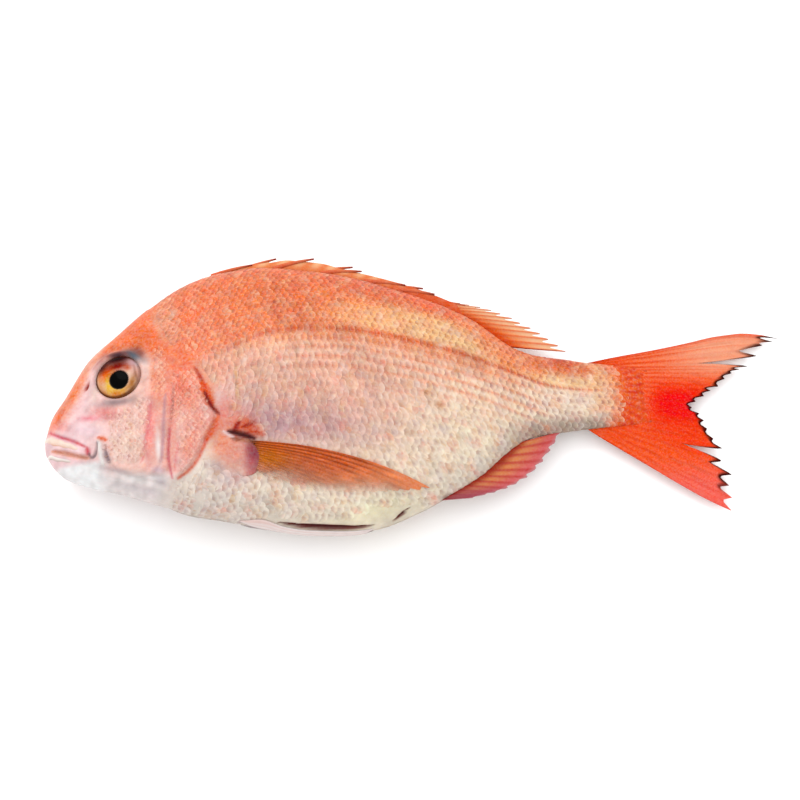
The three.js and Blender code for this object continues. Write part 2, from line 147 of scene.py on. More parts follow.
def mix(a, b, t):
    """A colour between two: t is 0 for the first and 1 for the second."""
    t = np.asarray(t, float)[..., None]
    return np.asarray(a, float) * (1 - t) + np.asarray(b, float) * t


def coated(base, *coats):
    """The base with coats of paint over it, each a colour and how much of it shows."""
    for paint, share in coats:
        base = mix(base, paint, share)
    return base


def widest_at(s):
    return belly_at(s) + (back_at(s) - belly_at(s)) * WIDEST_SHARE


def flesh(s, turn, side):
    """Points of the flesh: turn runs from -90 degrees at the belly to 90 at the back."""
    to_back = turn > 0
    reach = np.where(to_back, back_at(s), belly_at(s)) - widest_at(s)
    power = np.where(to_back, back_power_at(s), belly_power_at(s))
    h = widest_at(s) + reach * np.abs(np.sin(turn)) ** (2 / power)
    z = mid_height_at(s) + side * half_width_at(s) * np.cos(turn)
    return np.stack([s + 0 * h, h, z], -1)


def settled(z):
    soft = (z + SETTLE) ** 2 / (4 * SETTLE)
    return np.where(z >= SETTLE, z, np.where(z <= -SETTLE, 0, soft))


def settled_flesh(s, turn, side):
    at = flesh(s, turn, side)
    at[..., 2] = settled(at[..., 2])
    return at


def skin(s, turn, side, lift=0.0):
    """Points on the skin, lifted along its normal; side is 1 on the upper flank, -1 below."""
    s, turn, side, lift = np.broadcast_arrays(*(np.asarray(v, float) for v in (s, turn, side, lift)))
    along = settled_flesh(s + 0.5, turn, side) - settled_flesh(s - 0.5, turn, side)
    about = settled_flesh(s, turn + 0.03, side) - settled_flesh(s, turn - 0.03, side)
    normal = np.cross(along, about) * side[..., None]
    normal /= np.maximum(np.linalg.norm(normal, axis=-1, keepdims=True), 1e-9)
    at = settled_flesh(s, turn, side) + normal * lift[..., None]
    at[..., 2] = np.maximum(at[..., 2], 0)
    return at


def turn_at(s, h):
    """The turn at which the skin passes height h."""
    to_back = h > widest_at(s)
    reach = np.where(to_back, back_at(s), belly_at(s)) - widest_at(s)
    power = np.where(to_back, back_power_at(s), belly_power_at(s))
    share = np.clip((h - widest_at(s)) / reach, 0, 1)
    return np.where(to_back, 1, -1) * np.arcsin(share ** (power / 2))


def on_skin(s, h, side, lift=0.0):
    s, h = np.broadcast_arrays(np.asarray(s, float), np.asarray(h, float))
    return skin(s, turn_at(s, h), side, lift)


# The eye's CAD node gives the place of the fish's measures in the row frame.
eye_low, eye_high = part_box("eye_left")
eye_middle = on_skin(EYE["s"], EYE["h"], 1, -EYE["sunk"])
ORIGIN = eye_middle - np.array((eye_low + eye_high) / 2) / MM
ORIGIN[2] = 0


def row(points):
    """Fish measures as places in the row frame, in metres."""
    return (np.asarray(points) - ORIGIN) * MM


# The girth table turns a distance round the flank, from the lateral line, into a turn.
GIRTH_STATIONS = np.linspace(0, BODY_END, 248)
GIRTH_TURNS = np.linspace(-math.pi / 2, math.pi / 2, 181)


def girth_table():
    s, turn = np.meshgrid(GIRTH_STATIONS, GIRTH_TURNS, indexing="ij")
    at = flesh(s, turn, 1)
    steps = np.linalg.norm(np.diff(at[..., 1:], axis=1), axis=-1)
    arc = np.concatenate([np.zeros((len(s), 1)), np.cumsum(steps, axis=1)], axis=1)
    lateral = turn_at(GIRTH_STATIONS, lateral_at(GIRTH_STATIONS))
    for i in range(len(s)):
        arc[i] -= np.interp(lateral[i], GIRTH_TURNS, arc[i])
    return arc


GIRTH = girth_table()
girth_low = profile(list(zip(GIRTH_STATIONS, GIRTH[:, 0])))
girth_high = profile(list(zip(GIRTH_STATIONS, GIRTH[:, -1])))


SHARE_STEPS = 400
TURN_TABLE = np.array([
    np.interp(np.linspace(0, 1, SHARE_STEPS + 1), (arc - arc[0]) / (arc[-1] - arc[0]), GIRTH_TURNS)
    for arc in GIRTH
])


def turn_by_share(s, share):
    """The turn at a share of the way round one flank, 0 at the belly and 1 at the back."""
    last = len(GIRTH_STATIONS) - 1
    along = np.clip(np.asarray(s, float) / BODY_END * last, 0, last - 0.001)
    about = np.clip(share, 0, 1) * SHARE_STEPS
    i = along.astype(int)
    j = np.clip(about.astype(int), 0, SHARE_STEPS - 1)
    f, g = along - i, about - j
    near = TURN_TABLE[i, j] * (1 - g) + TURN_TABLE[i, j + 1] * g
    far = TURN_TABLE[i + 1, j] * (1 - g) + TURN_TABLE[i + 1, j + 1] * g
    return near * (1 - f) + far * f


def turn_round(s, round_by):
    """The turn reached by going round_by along the skin from the lateral line."""
    share = (round_by - girth_low(s)) / np.maximum(girth_high(s) - girth_low(s), 1e-6)
    return turn_by_share(s, share)


# Distances to drawn lines on the head

def distance_to(line, s, h):
    """Distance from points to a line of (s, h) points, and on which side: above 0 is left of it."""
    line = np.array(line, float)
    at = np.stack([s, h], -1)[..., None, :]
    start, end = line[:-1], line[1:]
    run = end - start
    t = np.clip(((at - start) * run).sum(-1) / (run * run).sum(-1), 0, 1)
    gap = at - (start + run * t[..., None])
    far = np.hypot(gap[..., 0], gap[..., 1])
    best = far.argmin(-1)
    cross = run[:, 0] * gap[..., 1] - run[:, 1] * gap[..., 0]
    pick = np.take_along_axis(cross, best[..., None], -1)[..., 0]
    share = np.take_along_axis(t, best[..., None], -1)[..., 0]
    return far.min(-1), np.sign(pick), (best + share) / len(run)


def smoothed(line):
    """The same line with rounded corners."""
    line = np.array(line, float)
    for _ in range(3):
        cut = np.empty((2 * len(line) - 2, line.shape[1]))
        cut[0::2] = line[:-1] * 0.75 + line[1:] * 0.25
        cut[1::2] = line[:-1] * 0.25 + line[1:] * 0.75
        line = np.concatenate([line[:1], cut, line[-1:]])
    return line


def walk(line):
    """The length of a line, and its points by the distance gone along it."""
    gone = np.concatenate([[0], np.cumsum(np.linalg.norm(np.diff(line, axis=0), axis=1))])

    def at(distance):
        return np.stack([np.interp(distance, gone, values) for values in line.T], -1)

    return gone[-1], at


def blob(s, h, s0, h0, reach_s, reach_h, lean=0.0):
    """A soft spot: 1 at its middle, falling to nothing past its reach."""
    turn = math.radians(lean)
    a = (s - s0) * math.cos(turn) + (h - h0) * math.sin(turn)
    b = -(s - s0) * math.sin(turn) + (h - h0) * math.cos(turn)
    return np.exp(-((a / reach_s) ** 2 + (b / reach_h) ** 2))


def dabbed(base, s, h, dabs, by=1):
    """Soft dabs of paint: the middle, two reaches, lean, colour and strength of each."""
    for s0, h0, reach_s, reach_h, lean, paint, strength in dabs:
        base = mix(base, paint, by * strength * blob(s, h, s0, h0, reach_s, reach_h, lean))
    return base


def wander(s, h, size, seed):
    """Slow smooth variation between -1 and 1, the same each run."""
    draw = np.random.default_rng(seed)
    total = 0
    for _ in range(6):
        heading = draw.uniform(0, 2 * math.pi)
        pace = 2 * math.pi / (size * draw.uniform(0.6, 1.6))
        ahead = s * math.cos(heading) + h * math.sin(heading)
        total = total + np.sin(ahead * pace + draw.uniform(0, 6.28))
    return total / 3.2


GILL_LINE = smoothed(GILL_EDGE)
CHEEK_LINE = smoothed(CHEEK_EDGE)
# Lines of the head, as points of station and height.
MOUTH_LINE = [(3, -4.4), (8, -6.2), (13, -8.2), (18, -9.6)]
MOUTH_CORNER = [(18, -7.6), (18.8, -9.8), (20.6, -9.2), (21.6, -6.4), (22, -3.6)]
SHOULDER_FOLD = [(79, 21), (79, 13), (79.6, 6.5)]
MAXILLA_RIDGE = [(22.6, -2.4), (22.8, -6), (23.2, -10), (24, -13)]
LIP_FOLD = [(1.4, 4.2), (6, 0.9), (10.5, -1.2), (13.6, -3), (16.8, -5)]
# Folds of the head's skin: the line, how deep and how wide.
CREASES = [
    ([(54, 16), (53, 7.5), (52, 0.9), (50.8, -7), (50, -14), (50.6, -20)], 0.6, 0.7),
    ([(45, 13), (43.6, 4), (42, -5), (40.6, -11.5), (37, -14.4), (31, -13.4), (27, -11)], 0.45, 0.9),
    ([(22, -13.6), (31, -17), (40, -20.6), (48, -23.6)], 0.6, 1.0),
    ([(20, -16.6), (29, -20), (38, -23.2), (46, -25.6)], 0.5, 0.9),
    ([(36, -17.4), (42, -18.6), (48, -21.6), (50, -25)], 0.5, 0.8),
    ([(44, -18.8), (51, -22.4), (53, -26)], 0.4, 0.8),
    ([(21.2, 9), (24, 5.5), (30, 4), (37, 6)], 0.3, 1.4),
    (MOUTH_CORNER, 0.9, 0.55),
    ([(24.6, -5), (24.8, -9), (26, -12.4), (28.6, -15)], 0.8, 0.8),
    (MOUTH_LINE, 1.2, 0.8),
    ([(75, -5.9), (78, -6.6), (81, -7.6), (84, -9)], 0.8, 0.8),
    (SHOULDER_FOLD, 0.35, 0.8),
]
NOSTRIL = (18.4, 20.6, 1.7, 0.7, 60)
EYELID = 9.5
# Cuts along the keel: the stations, how wide and how deep, and how far up the flank they sit.
KEEL_CUTS = [
    {"from": 92, "to": 131, "wide": 3.2, "deep": 1.6, "up": [(92, 13.5), (105, 12), (131, 10)]},
    {"from": 138.8, "to": 144.6, "wide": 2.4, "deep": 1.0, "up": [(138.8, 9), (144.6, 18)]},
]


def head_relief(s, h):
    """How far the skin of the head stands off its round, in millimetres."""
    far, side, share = distance_to(GILL_LINE, s, h)
    inside = np.where(side < 0, far, -far)
    cover = smooth(50, 55, s) * smooth(0.06, 0.24, share)
    lift = GILL_LIFT * smooth(-0.3, 0.4, inside) * cover * fade(8, 17, inside)
    crevice = 0.3 + 0.5 * blob(s, h, 68.6, 5, 2.6, 4, 0)
    crevice = crevice * between(0.12, 0.26, 0.86, 0.97, share)
    lift -= crevice * bell(far) * (side > 0)
    far, side, share = distance_to(CHEEK_LINE, s, h)
    inside = np.where(side < 0, far, -far)
    plate = between(0.0, 0.2, 0.8, 1, share)
    lift += CHEEK_LIFT * smooth(-0.4, 0.4, inside) * plate * fade(7, 14, inside)
    for line, deep, wide in CREASES:
        far, _, share = distance_to(smoothed(line), s, h)
        ends = between(0, 0.15, 0.85, 1, share)
        lift -= deep * bell(far / wide) * ends
        lift += 0.3 * deep * bell((far - 1.7 * wide) / wide) * ends
    out = np.hypot(s - EYE["s"], h - EYE["h"])
    lift += 1.0 * bell((out - EYELID - 1.4) / 1.3)
    lift -= 3.4 * fade(EYELID - 1.3, EYELID + 0.4, out)
    far, _, _ = distance_to(smoothed(LIP_FOLD), s, h)
    lift -= 0.55 * bell(far / 0.6)
    far, _, share = distance_to(smoothed(MAXILLA_RIDGE), s, h)
    lift += 1.0 * bell(far / 0.85) * fade(0.8, 1, share)
    lift -= 1.3 * blob(s, h, *NOSTRIL)
    lift += 0.12 * wander(s, h, 16, 5) * between(2, 12, 60, 75, s)
    return lift


def cut_share(cut, s, turn, side):
    """How far inside a cut of the keel a point is: 1 in its middle, 0 outside."""
    around = (np.degrees(turn) + 90) * side
    share = np.clip((s - cut["from"]) / (cut["to"] - cut["from"]), 0, 1)
    wide = cut["wide"] * np.maximum(np.sin(math.pi * share) ** 0.6, 0.02)
    middle = np.interp(s, *zip(*cut["up"]))
    return np.exp(-(((around - middle) / wide) ** 4)) * np.sin(math.pi * share) ** 0.3


# How much light falls on a level surface in the studio, and how much the gloss adds.
STUDIO_LIGHT = 1.78
GLOSS_VEIL = 0.012


# Modelling by hand: a primitive, shaped, then finished

def deselect():
    for ob in bpy.context.selected_objects:
        ob.select_set(False)


def points_of(ob):
    flat = np.empty(len(ob.data.vertices) * 3)
    ob.data.vertices.foreach_get("co", flat)
    return flat.reshape(-1, 3)


def put_points(ob, points):
    ob.data.vertices.foreach_set("co", np.asarray(points, float).ravel())
    ob.data.update()


def work_on(ob):
    deselect()
    bpy.context.view_layer.objects.active = ob
    ob.select_set(True)


def in_edit_mode(ob, *steps):
    """Each step is an operator call on everything selected in edit mode."""
    work_on(ob)
    bpy.ops.object.mode_set(mode="EDIT")
    bpy.ops.mesh.select_all(action="SELECT")
    for step in steps:
        step()
    bpy.ops.object.mode_set(mode="OBJECT")


def sheet_primitive(name, across, along):
    """A flat grid of across by along faces, and the two shares, 0 to 1, of each of its points."""
    deselect()
    bpy.ops.mesh.primitive_grid_add(x_subdivisions=across, y_subdivisions=along, size=2)
    ob = bpy.context.object
    ob.name = name
    ob.data.name = name
    share = points_of(ob)[:, :2] / 2 + 0.5
    return ob, share[:, 0], share[:, 1]


def close_sheet(ob, reach=0.00002):
    """Welds a rolled sheet's seam, fills its open ends and turns its faces outwards."""
    in_edit_mode(
        ob,
        lambda: bpy.ops.mesh.remove_doubles(threshold=reach),
        lambda: bpy.ops.mesh.select_all(action="DESELECT"),
        lambda: bpy.ops.mesh.select_non_manifold(),
        lambda: bpy.ops.mesh.fill(),
        lambda: bpy.ops.mesh.select_all(action="SELECT"),
        lambda: bpy.ops.mesh.normals_make_consistent(inside=False),
    )


def smooth_shade(ob, degrees=None):
    work_on(ob)
    if degrees is None:
        bpy.ops.object.shade_smooth()
    else:
        bpy.ops.object.shade_smooth_by_angle(angle=math.radians(degrees))


def linear(seen):
    """A colour seen in the studio's light, 0 to 255, as paint."""
    c = np.asarray(seen, float) / 255
    light = np.where(c <= 0.04045, c / 12.92, ((c + 0.055) / 1.055) ** 2.4)
    return np.maximum(light - GLOSS_VEIL, 0.001) / STUDIO_LIGHT


def tint(ob, colours):
    """Gives each point of the piece its own colour, 0 to 255 as seen on screen."""
    layer = ob.data.attributes.new("tint", "FLOAT_COLOR", "POINT")
    values = np.ones((len(ob.data.vertices), 4))
    values[:, :3] = linear(np.clip(colours, 0, 255))
    layer.data.foreach_set("color", values.ravel())


def mark(ob, name, values):
    """Gives each point of the piece a number."""
    layer = ob.data.attributes.new(name, "FLOAT", "POINT")
    layer.data.foreach_set("value", np.asarray(values, float).ravel())


# Colours as seen on screen
NAPE_CORAL = (244, 124, 84)
BACK_CORAL = (238, 110, 58)
REAR_APRICOT = (254, 190, 132)
FLANK_PEACH = (241, 184, 158)
FLANK_ROSE = (229, 172, 152)
FLANK_MAUVE = (186, 138, 142)
SILVER_SAND = (250, 224, 198)
BELLY_CREAM = (240, 226, 204)
BELLY_SHADE_GREY = (206, 192, 184)
PEDUNCLE_RED = (200, 44, 6)
RIDGE_CORAL = (233, 99, 50)
CHEST_PALE = (234, 222, 217)
LINE_RED = (210, 80, 36)
PEDUNCLE_GOLD = (255, 208, 158)
PEDUNCLE_SHADE = (150, 130, 116)
INK = (52, 26, 26)
CUT_RED_AND_SHADE = (78, 12, 12)
SNOUT_SALMON = (250, 160, 134)
SNOUT_PALE = (249, 211, 213)
CHEEK_PINK = (247, 200, 188)
GILL_PINK = (245, 176, 162)
STRIPE_PINK = (247, 148, 142)
HIGHLIGHT_WHITE = (250, 236, 234)
JAW_WHITE = (252, 249, 249)
THROAT_SHADE_GREY = (236, 224, 222)
ORANGE = (240, 128, 72)
WOUND_RED = (150, 30, 22)
BONE_WHITE = (248, 244, 240)
TEAL = (74, 104, 124)

# Broad soft patches of the flank: s, h, reaches, lean, paint, strength.
FLANK_DABS = [
    (164, -4, 20, 15, -10, (255, 242, 212), 0.5), (96, -3, 34, 9, -8, FLANK_MAUVE, 0.95),
]
REAR_DABS = [
    (132, -38, 20, 5, 14, (246, 236, 196), 0.7), (181, 8, 24, 15, 0, (255, 222, 184), 0.34),
]
ROW_BAND = 4.3


def back_colour(s, up):
    """Coral over the nape, apricot behind."""
    back = mix(BACK_CORAL, REAR_APRICOT, smooth(105, 165, s) * fade(0.86, 0.99, up))
    return mix(back, NAPE_CORAL, fade(55, 90, s))


def flank_colour(s, turn, side):
    """The colour of the trunk, from the back's coral down to the cream of the belly."""
    h = flesh(s, turn, side)[..., 1]
    tall = np.maximum(back_at(s) - belly_at(s), 1)
    up = (h - belly_at(s)) / tall
    line_up = (lateral_at(s) - belly_at(s)) / tall
    over_line = h - lateral_at(s)
    above = smooth(-0.015, 0.03, up - line_up)
    rear = smooth(120, 190, s)
    stalk = smooth(182, 205, s)
    base = coated(
        BELLY_CREAM,
        (SILVER_SAND, smooth(0.02, 0.3, up)),
        (mix(FLANK_ROSE, FLANK_PEACH, smooth(0.35, 0.7, up)), smooth(0.2, 0.5, up) * (1 - 0.55 * rear)),
        (FLANK_PEACH, smooth(0.45, 0.75, up) * rear * 0.7),
        (CHEST_PALE, 0.6 * fade(62, 100, s) * fade(0.16, 0.42, up)),
    )
    base = coated(
        dabbed(base, s, h, FLANK_DABS),
        (back_colour(s, up), above * smooth(40, 60, s)),
        (RIDGE_CORAL, 0.6 * smooth(0.84, 0.99, up)),
        ((232, 84, 42), 0.7 * smooth(0.84, 0.95, up) * between(105, 140, 186, 200, s)),
        (PEDUNCLE_GOLD, 0.55 * stalk * smooth(0.25, 0.5, up)),
        ((255, 232, 214), 0.6 * stalk * between(0.22, 0.36, 0.45, 0.6, up)),
        (PEDUNCLE_RED, 0.98 * smooth(176, 198, s) * smooth(0.63, 0.8, up)),
        (PEDUNCLE_SHADE, 0.85 * smooth(174, 202, s) * fade(0.03, 0.24, up)),
        # Painted shade along the belly's lower edge, where it turns away from the light.
        (BELLY_SHADE_GREY, 0.3 * fade(0.02, 0.14, up) * (1 - stalk)),
    )
    band = 0.5 + 0.5 * np.cos(over_line * 2 * math.pi / ROW_BAND)
    banded = between(86, 110, 190, 215, s) * smooth(-26, -14, over_line)
    under_line = bell((over_line + 3.4) / 3.4) * between(70, 92, 178, 200, s)
    over_share = (up - line_up) / np.maximum(1 - line_up, 0.1) + 0.3 * smooth(172, 186, s)
    rear_back = above * between(160, 182, 198, 208, s)
    line = bell(over_line / np.interp(s, [66, 100, 180, 205], [1.1, 1.7, 1.5, 0.7])) * smooth(62, 70, s)
    line = line * (0.8 + 0.2 * np.cos(s * 2 * math.pi / SCALE_PITCH))
    to_end = s - scale_end(h) + 2.4 * wander(s, h, 7, 13)
    base = coated(
        dabbed(base, s, h, REAR_DABS),
        ((236, 126, 88), 0.62 * band ** 3 * banded * (1 - above)),
        ((222, 112, 76), 0.5 * blob(s, over_line, 106, 9, 12, 7) * above),
        ((255, 214, 160), 0.4 * smooth(100, 130, s) * bell((over_line - 6) / 6) * above),
        ((238, 144, 100), 0.75 * under_line * (1 - above)),
        ((240, 132, 84), 0.8 * rear_back * smooth(0.2, 0.7, over_share)),
        (LINE_RED, line * np.interp(s, [66, 80, 190, 210], [0.8, 1.0, 0.95, 0.6])),
        ((255, 190, 140), 0.75 * smooth(-19, -9, to_end) * smooth(0.1, 0.3, up)),
        ((246, 124, 80), 0.9 * smooth(-10, -1, to_end)),
    )
    tone = 1 + 0.035 * wander(s, h, 30, 11) + 0.02 * wander(s, h, 9, 12)
    return base * tone[..., None]


# Small marks: s, h, reaches, lean, paint, strength.
SPOTS = [
    (96, 50, 1.6, 0.6, 20, WOUND_RED, 0.8), (115.6, 44.4, 4.5, 2.6, -20, ORANGE, 0.6),
    (84, 46, 7, 4, 10, ORANGE, 0.5), (104, 58, 8, 4, -10, (226, 106, 82), 0.45),
    (130, 56, 12, 3.4, -14, (228, 110, 78), 0.4), (154.8, 8.4, 1.2, 1, 0, (150, 84, 40), 0.8),
    # The dark spot at (160.6, -32.6) is the vent's opening, darkened by painted shadow.
    (160.6, -32.6, 2.2, 1.3, 26, (86, 48, 46), 0.9),
    (160.2, 3, 2, 1.5, 0, (206, 120, 66), 0.7), (168.2, 17.4, 1, 2.4, 10, (150, 110, 70), 0.6),
    (104, 26.5, 0.8, 3.4, -4, (150, 120, 100), 0.5), (100.6, 12, 0.9, 2, 0, (196, 92, 70), 0.6),
]


# Soft patches behind the gill cover and round the root of the breast fin.
SHOULDER = [
    (73, 4, 5, 10, -10, (244, 150, 136), 0.75), (77, 14, 3, 6, 0, (238, 214, 214), 0.6),
    (72.5, -10, 4.4, 7, -24, (246, 146, 112), 0.85), (79, -2, 7, 4, 0, (240, 136, 112), 0.7),
    (90, -3, 8, 5, 0, (176, 140, 150), 0.5), (76, -24, 6, 3, -10, (206, 196, 206), 0.7),
    (69.4, -19.6, 3.4, 3, -30, (184, 168, 170), 0.75), (70, 21, 11, 8, 10, (247, 164, 134), 0.85),
    (77, -15, 6, 8, 0, (236, 148, 130), 0.8), (71, 9, 3, 4, -20, (240, 216, 218), 0.6),
]


# Soft patches of colour on the head: s, h, reaches, lean, paint, strength.
HEAD_PATCHES = [
    (42, 36, 9, 3.6, -28, (228, 116, 70), 0.7), (55, 44, 6, 7, 0, (240, 112, 66), 0.8),
    # Painted highlights in white: a streak on the snout top and a strip behind the eye.
    (22.6, 37, 7, 1.5, 50, HIGHLIGHT_WHITE, 0.75), (43.4, 23.5, 1.7, 6, 4, HIGHLIGHT_WHITE, 0.95),
    (12.6, 19, 2.6, 7, -28, (240, 120, 66), 0.85), (6.4, 10, 1.8, 5, -28, (240, 112, 72), 0.85),
    (8, 4.4, 5, 1.6, -24, (244, 132, 116), 0.6), (16, 26, 2, 5, -34, (246, 140, 96), 0.6),
    (21, 33, 2.4, 5, -42, (246, 150, 110), 0.6), (29, 40, 6, 2, 36, (244, 138, 92), 0.5),
    (47, 18, 3.4, 10, 10, (244, 132, 92), 0.7), (26, 8.2, 6, 2.4, -8, STRIPE_PINK, 0.75),
    (19, 6.4, 4, 1.2, -8, (236, 120, 134), 0.6), (27, 5.5, 3, 1.6, -20, (236, 130, 130), 0.4),
    (17, 1.6, 9, 2.4, -14, (250, 218, 224), 0.85), (12, -1.5, 5, 1.4, -22, (250, 228, 232), 0.5),
    # The white strip on the cheek at (46.6, -9) is a painted highlight.
    (43.6, -2, 2.3, 11.5, -6, STRIPE_PINK, 0.95), (46.6, -9, 1.1, 6, 0, HIGHLIGHT_WHITE, 1.0),
    # The grey-lilac patch at (30, 11.4) is painted shadow under the eye.
    (34, -7, 6, 6, 0, (250, 222, 204), 0.55), (30, 11.4, 7, 1.5, -2, (150, 130, 134), 0.8),
    (21.8, 16, 1.6, 4, -20, (250, 218, 206), 0.8), (60, 0, 5, 18, 4, GILL_PINK, 0.5),
    (55, -16, 3, 3.4, 0, (244, 206, 206), 0.6), (73, -9, 4.4, 7.5, -24, (245, 150, 112), 0.85),
    # The grey-lilac patch at (45.8, -17.6) is painted shade under the jaw.
    (70, 4, 5, 6, 0, (240, 170, 160), 0.6), (45.8, -17.6, 2.6, 1.4, -20, (196, 176, 196), 0.6),
    (52, 6, 1.4, 9, 0, (236, 150, 138), 0.5), (58, 13, 5, 9, 0, (242, 112, 82), 0.8),
    (60, -8, 2, 10, -22, (240, 120, 96), 0.45), (56, -2, 1.6, 8, -10, (250, 206, 196), 0.5),
    (38.2, 31, 4.4, 1.9, -42, TEAL, 0.95), (31.6, 32.6, 5, 1.4, -4, (70, 44, 56), 0.9),
    (40, 32.4, 3.6, 1.8, -46, (140, 84, 76), 0.85),
    # The pale greys at h -16 to -24 below the jaw, here and on the next lines, are painted shade in the
    # throat's folds.
    (24, 31, 1.3, 4, -40, (150, 84, 76), 0.5), (30, -16, 6, 1.2, -16, (178, 170, 178), 0.5),
    (36, -19.6, 8, 0.8, -20, (250, 244, 242), 0.8), (44, -20.4, 4, 0.8, -16, (250, 244, 242), 0.8),
    (40, -24, 8, 1.2, -24, (206, 192, 196), 0.5), (30, -21, 8, 0.9, -20, (210, 200, 202), 0.5),
    (47, -22.6, 3, 1.2, -40, (186, 168, 176), 0.5), (18.4, 20.6, 1.53, 0.63, 60, WOUND_RED, 0.95),
]
# Lines of colour on the head: the line, its width, paint, strength.
HEAD_LINES = [
    (LIP_FOLD, 0.6, (220, 92, 104), 0.85),
    ([(17.4, -5.4), (18.2, -8.4)], 0.9, (206, 70, 80), 0.8),
    (MOUTH_LINE, 0.9, (240, 160, 130), 0.8),
    (MOUTH_CORNER, 0.6, (150, 130, 134), 0.7),
    (MAXILLA_RIDGE, 0.9, BONE_WHITE, 0.95),
    ([(22.2, -2), (25.6, -3.4)], 0.8, (232, 96, 66), 0.8),
    ([(24.9, -8), (26, -12)], 0.9, (140, 124, 134), 0.75),
    ([(50.4, 12), (49.2, 2), (48.6, -6.7), (47.2, -15)], 0.6, (206, 160, 172), 0.7),
    ([(54, 16), (53, 7.5), (52, 0.9), (50.8, -7)], 0.7, (236, 150, 140), 0.6),
    ([(51.4, -2), (50.4, -9), (50, -15), (51.4, -21.6)], 0.55, (206, 84, 96), 0.7),
    ([(55, -8), (53.4, -14), (52.6, -19)], 0.5, (226, 120, 124), 0.45),
    ([(44.4, 9), (43, 1), (41.4, -8), (39.6, -13.6)], 0.7, (232, 128, 132), 0.6),
    ([(70, -2.6), (67.2, -6.6), (64.2, -11.5), (61.8, -16), (58, -19.8), (53.4, -22)],
     0.75, (230, 104, 80), 0.75),
    # The dark red on this line and on the line after next is painted shadow under the gill cover's rear
    # edge, over the red of the gills.
    ([(62.6, 22), (64.2, 19), (65.6, 15.6), (66.4, 12)], 0.7, (186, 60, 40), 0.75),
    ([(65.4, 15), (67, 10.4), (68.6, 5.6)], 1.7, (238, 86, 30), 0.95),
    ([(66.2, 11), (67, 8), (68.6, 4.8), (71.4, 1.6)], 0.85, (128, 26, 14), 0.92),
    ([(71, 0.6), (69, -4), (65.6, -8.6)], 1.5, (238, 106, 72), 0.7),
    ([(79, -4.6), (82, -3.4), (85, -5), (88, -7.4)], 2.6, (222, 92, 58), 0.8),
    ([(77, -6.2), (78, -3.8), (79.4, -2)], 0.9, (150, 30, 20), 0.85),
    ([(80.4, -4.4), (83, -3.4), (85.6, -2.2)], 0.7, (150, 36, 24), 0.75),
    ([(81, -6.6), (85, -6.2), (89, -8)], 0.7, (186, 56, 30), 0.6),
    # The near-black slit of the axil is painted shade in the cleft.
    ([(74.6, -5.7), (78, -6.6), (81, -7.6), (85, -9.2)], 1.1, (70, 8, 8), 1.0),
    # A white painted highlight at the cleft's front.
    ([(72.6, -5.4), (74.6, -7), (77, -8.4)], 0.6, (240, 222, 228), 0.85),
    ([(76, -8.6), (80, -9.8), (84, -11)], 0.8, (128, 60, 40), 0.7),
    (SHOULDER_FOLD, 0.55, (206, 150, 84), 0.6),
]


def head_colour(s, turn, side):
    """The colour of the head's skin."""
    h = flesh(s, turn, side)[..., 1]
    over_eye = smooth(28, 37, h + 0.16 * (s - 30)) * smooth(16, 26, s)
    throat_shade = fade(-19, -14.5, h - 0.12 * (30 - s))
    base = coated(
        mix(CHEEK_PINK, GILL_PINK, smooth(38, 54, s)),
        (SNOUT_PALE, fade(14, 34, s)),
        (SNOUT_SALMON, fade(6, 24, s + 0.45 * (24 - h)) * smooth(0, 8, h)),
        (NAPE_CORAL, over_eye),
        (NAPE_CORAL, 0.85 * smooth(8, 26, h) * smooth(44, 56, s)),
        # Painted shade on the throat's underside, which turns away from the light.
        (THROAT_SHADE_GREY, throat_shade * fade(46, 62, s)),
        (JAW_WHITE, fade(-12.5, -10, h) * fade(20, 28, s)),
    )
    base = dabbed(base, s, h, HEAD_PATCHES)
    return base * head_tone(s, h)[..., None]


def head_tone(s, h):
    return 1 + 0.035 * wander(s, h, 12, 21) + 0.03 * wander(s, h, 4, 22)


def with_head_lines(base, s, h):
    for line, wide, paint, strength in HEAD_LINES:
        far, _, share = distance_to(smoothed(line), s, h)
        swell = wide * (0.55 + 0.6 * np.sin(math.pi * share))
        base = mix(base, paint, strength * bell(far / swell))
    return base


def gill_limit(h):
    """The station where the head gives way to the scaled trunk."""
    return np.interp(h, [-40, -28, -23, -19, -11.5, -6.8, -2.4, 1, 6, 10.5, 14.5, 19.6, 23, 27, 34, 46, 60],
                     [44, 48, 51, 58, 63.5, 66.5, 69.6, 71.4, 69, 67.6, 66.4, 64, 61.6, 58, 50, 45, 43])


def skin_colour(s, turn, side):
    h = flesh(s, turn, side)[..., 1]
    soft = np.interp(h, [-32, -21, -14], [10, 5, 0])
    trunk = smooth(-1.2 - soft, 2.4 + 0.5 * soft, s - gill_limit(h))
    base = mix(head_colour(s, turn, side), flank_colour(s, turn, side), trunk)
    base = dabbed(base, s, h, SPOTS)
    base = dabbed(base, s, h, SHOULDER, trunk)
    return with_head_lines(base, s, h)


# Materials

def new_material(name, roughness, coat=0.0, coat_roughness=0.1, specular=0.5, under=0.0):
    """A material with a thin coat and light under the skin, and its nodes, links and shader."""
    material = bpy.data.materials.new(name)
    material.use_nodes = True
    shader = material.node_tree.nodes["Principled BSDF"]
    shader.inputs["Roughness"].default_value = roughness
    shader.inputs["Coat Weight"].default_value = coat
    shader.inputs["Coat Roughness"].default_value = coat_roughness
    shader.inputs["Specular IOR Level"].default_value = specular
    if under:
        shader.inputs["Subsurface Weight"].default_value = under
        shader.inputs["Subsurface Radius"].default_value = (1.0, 0.35, 0.2)
        shader.inputs["Subsurface Scale"].default_value = 0.0015
    return material, material.node_tree.nodes, material.node_tree.links, shader


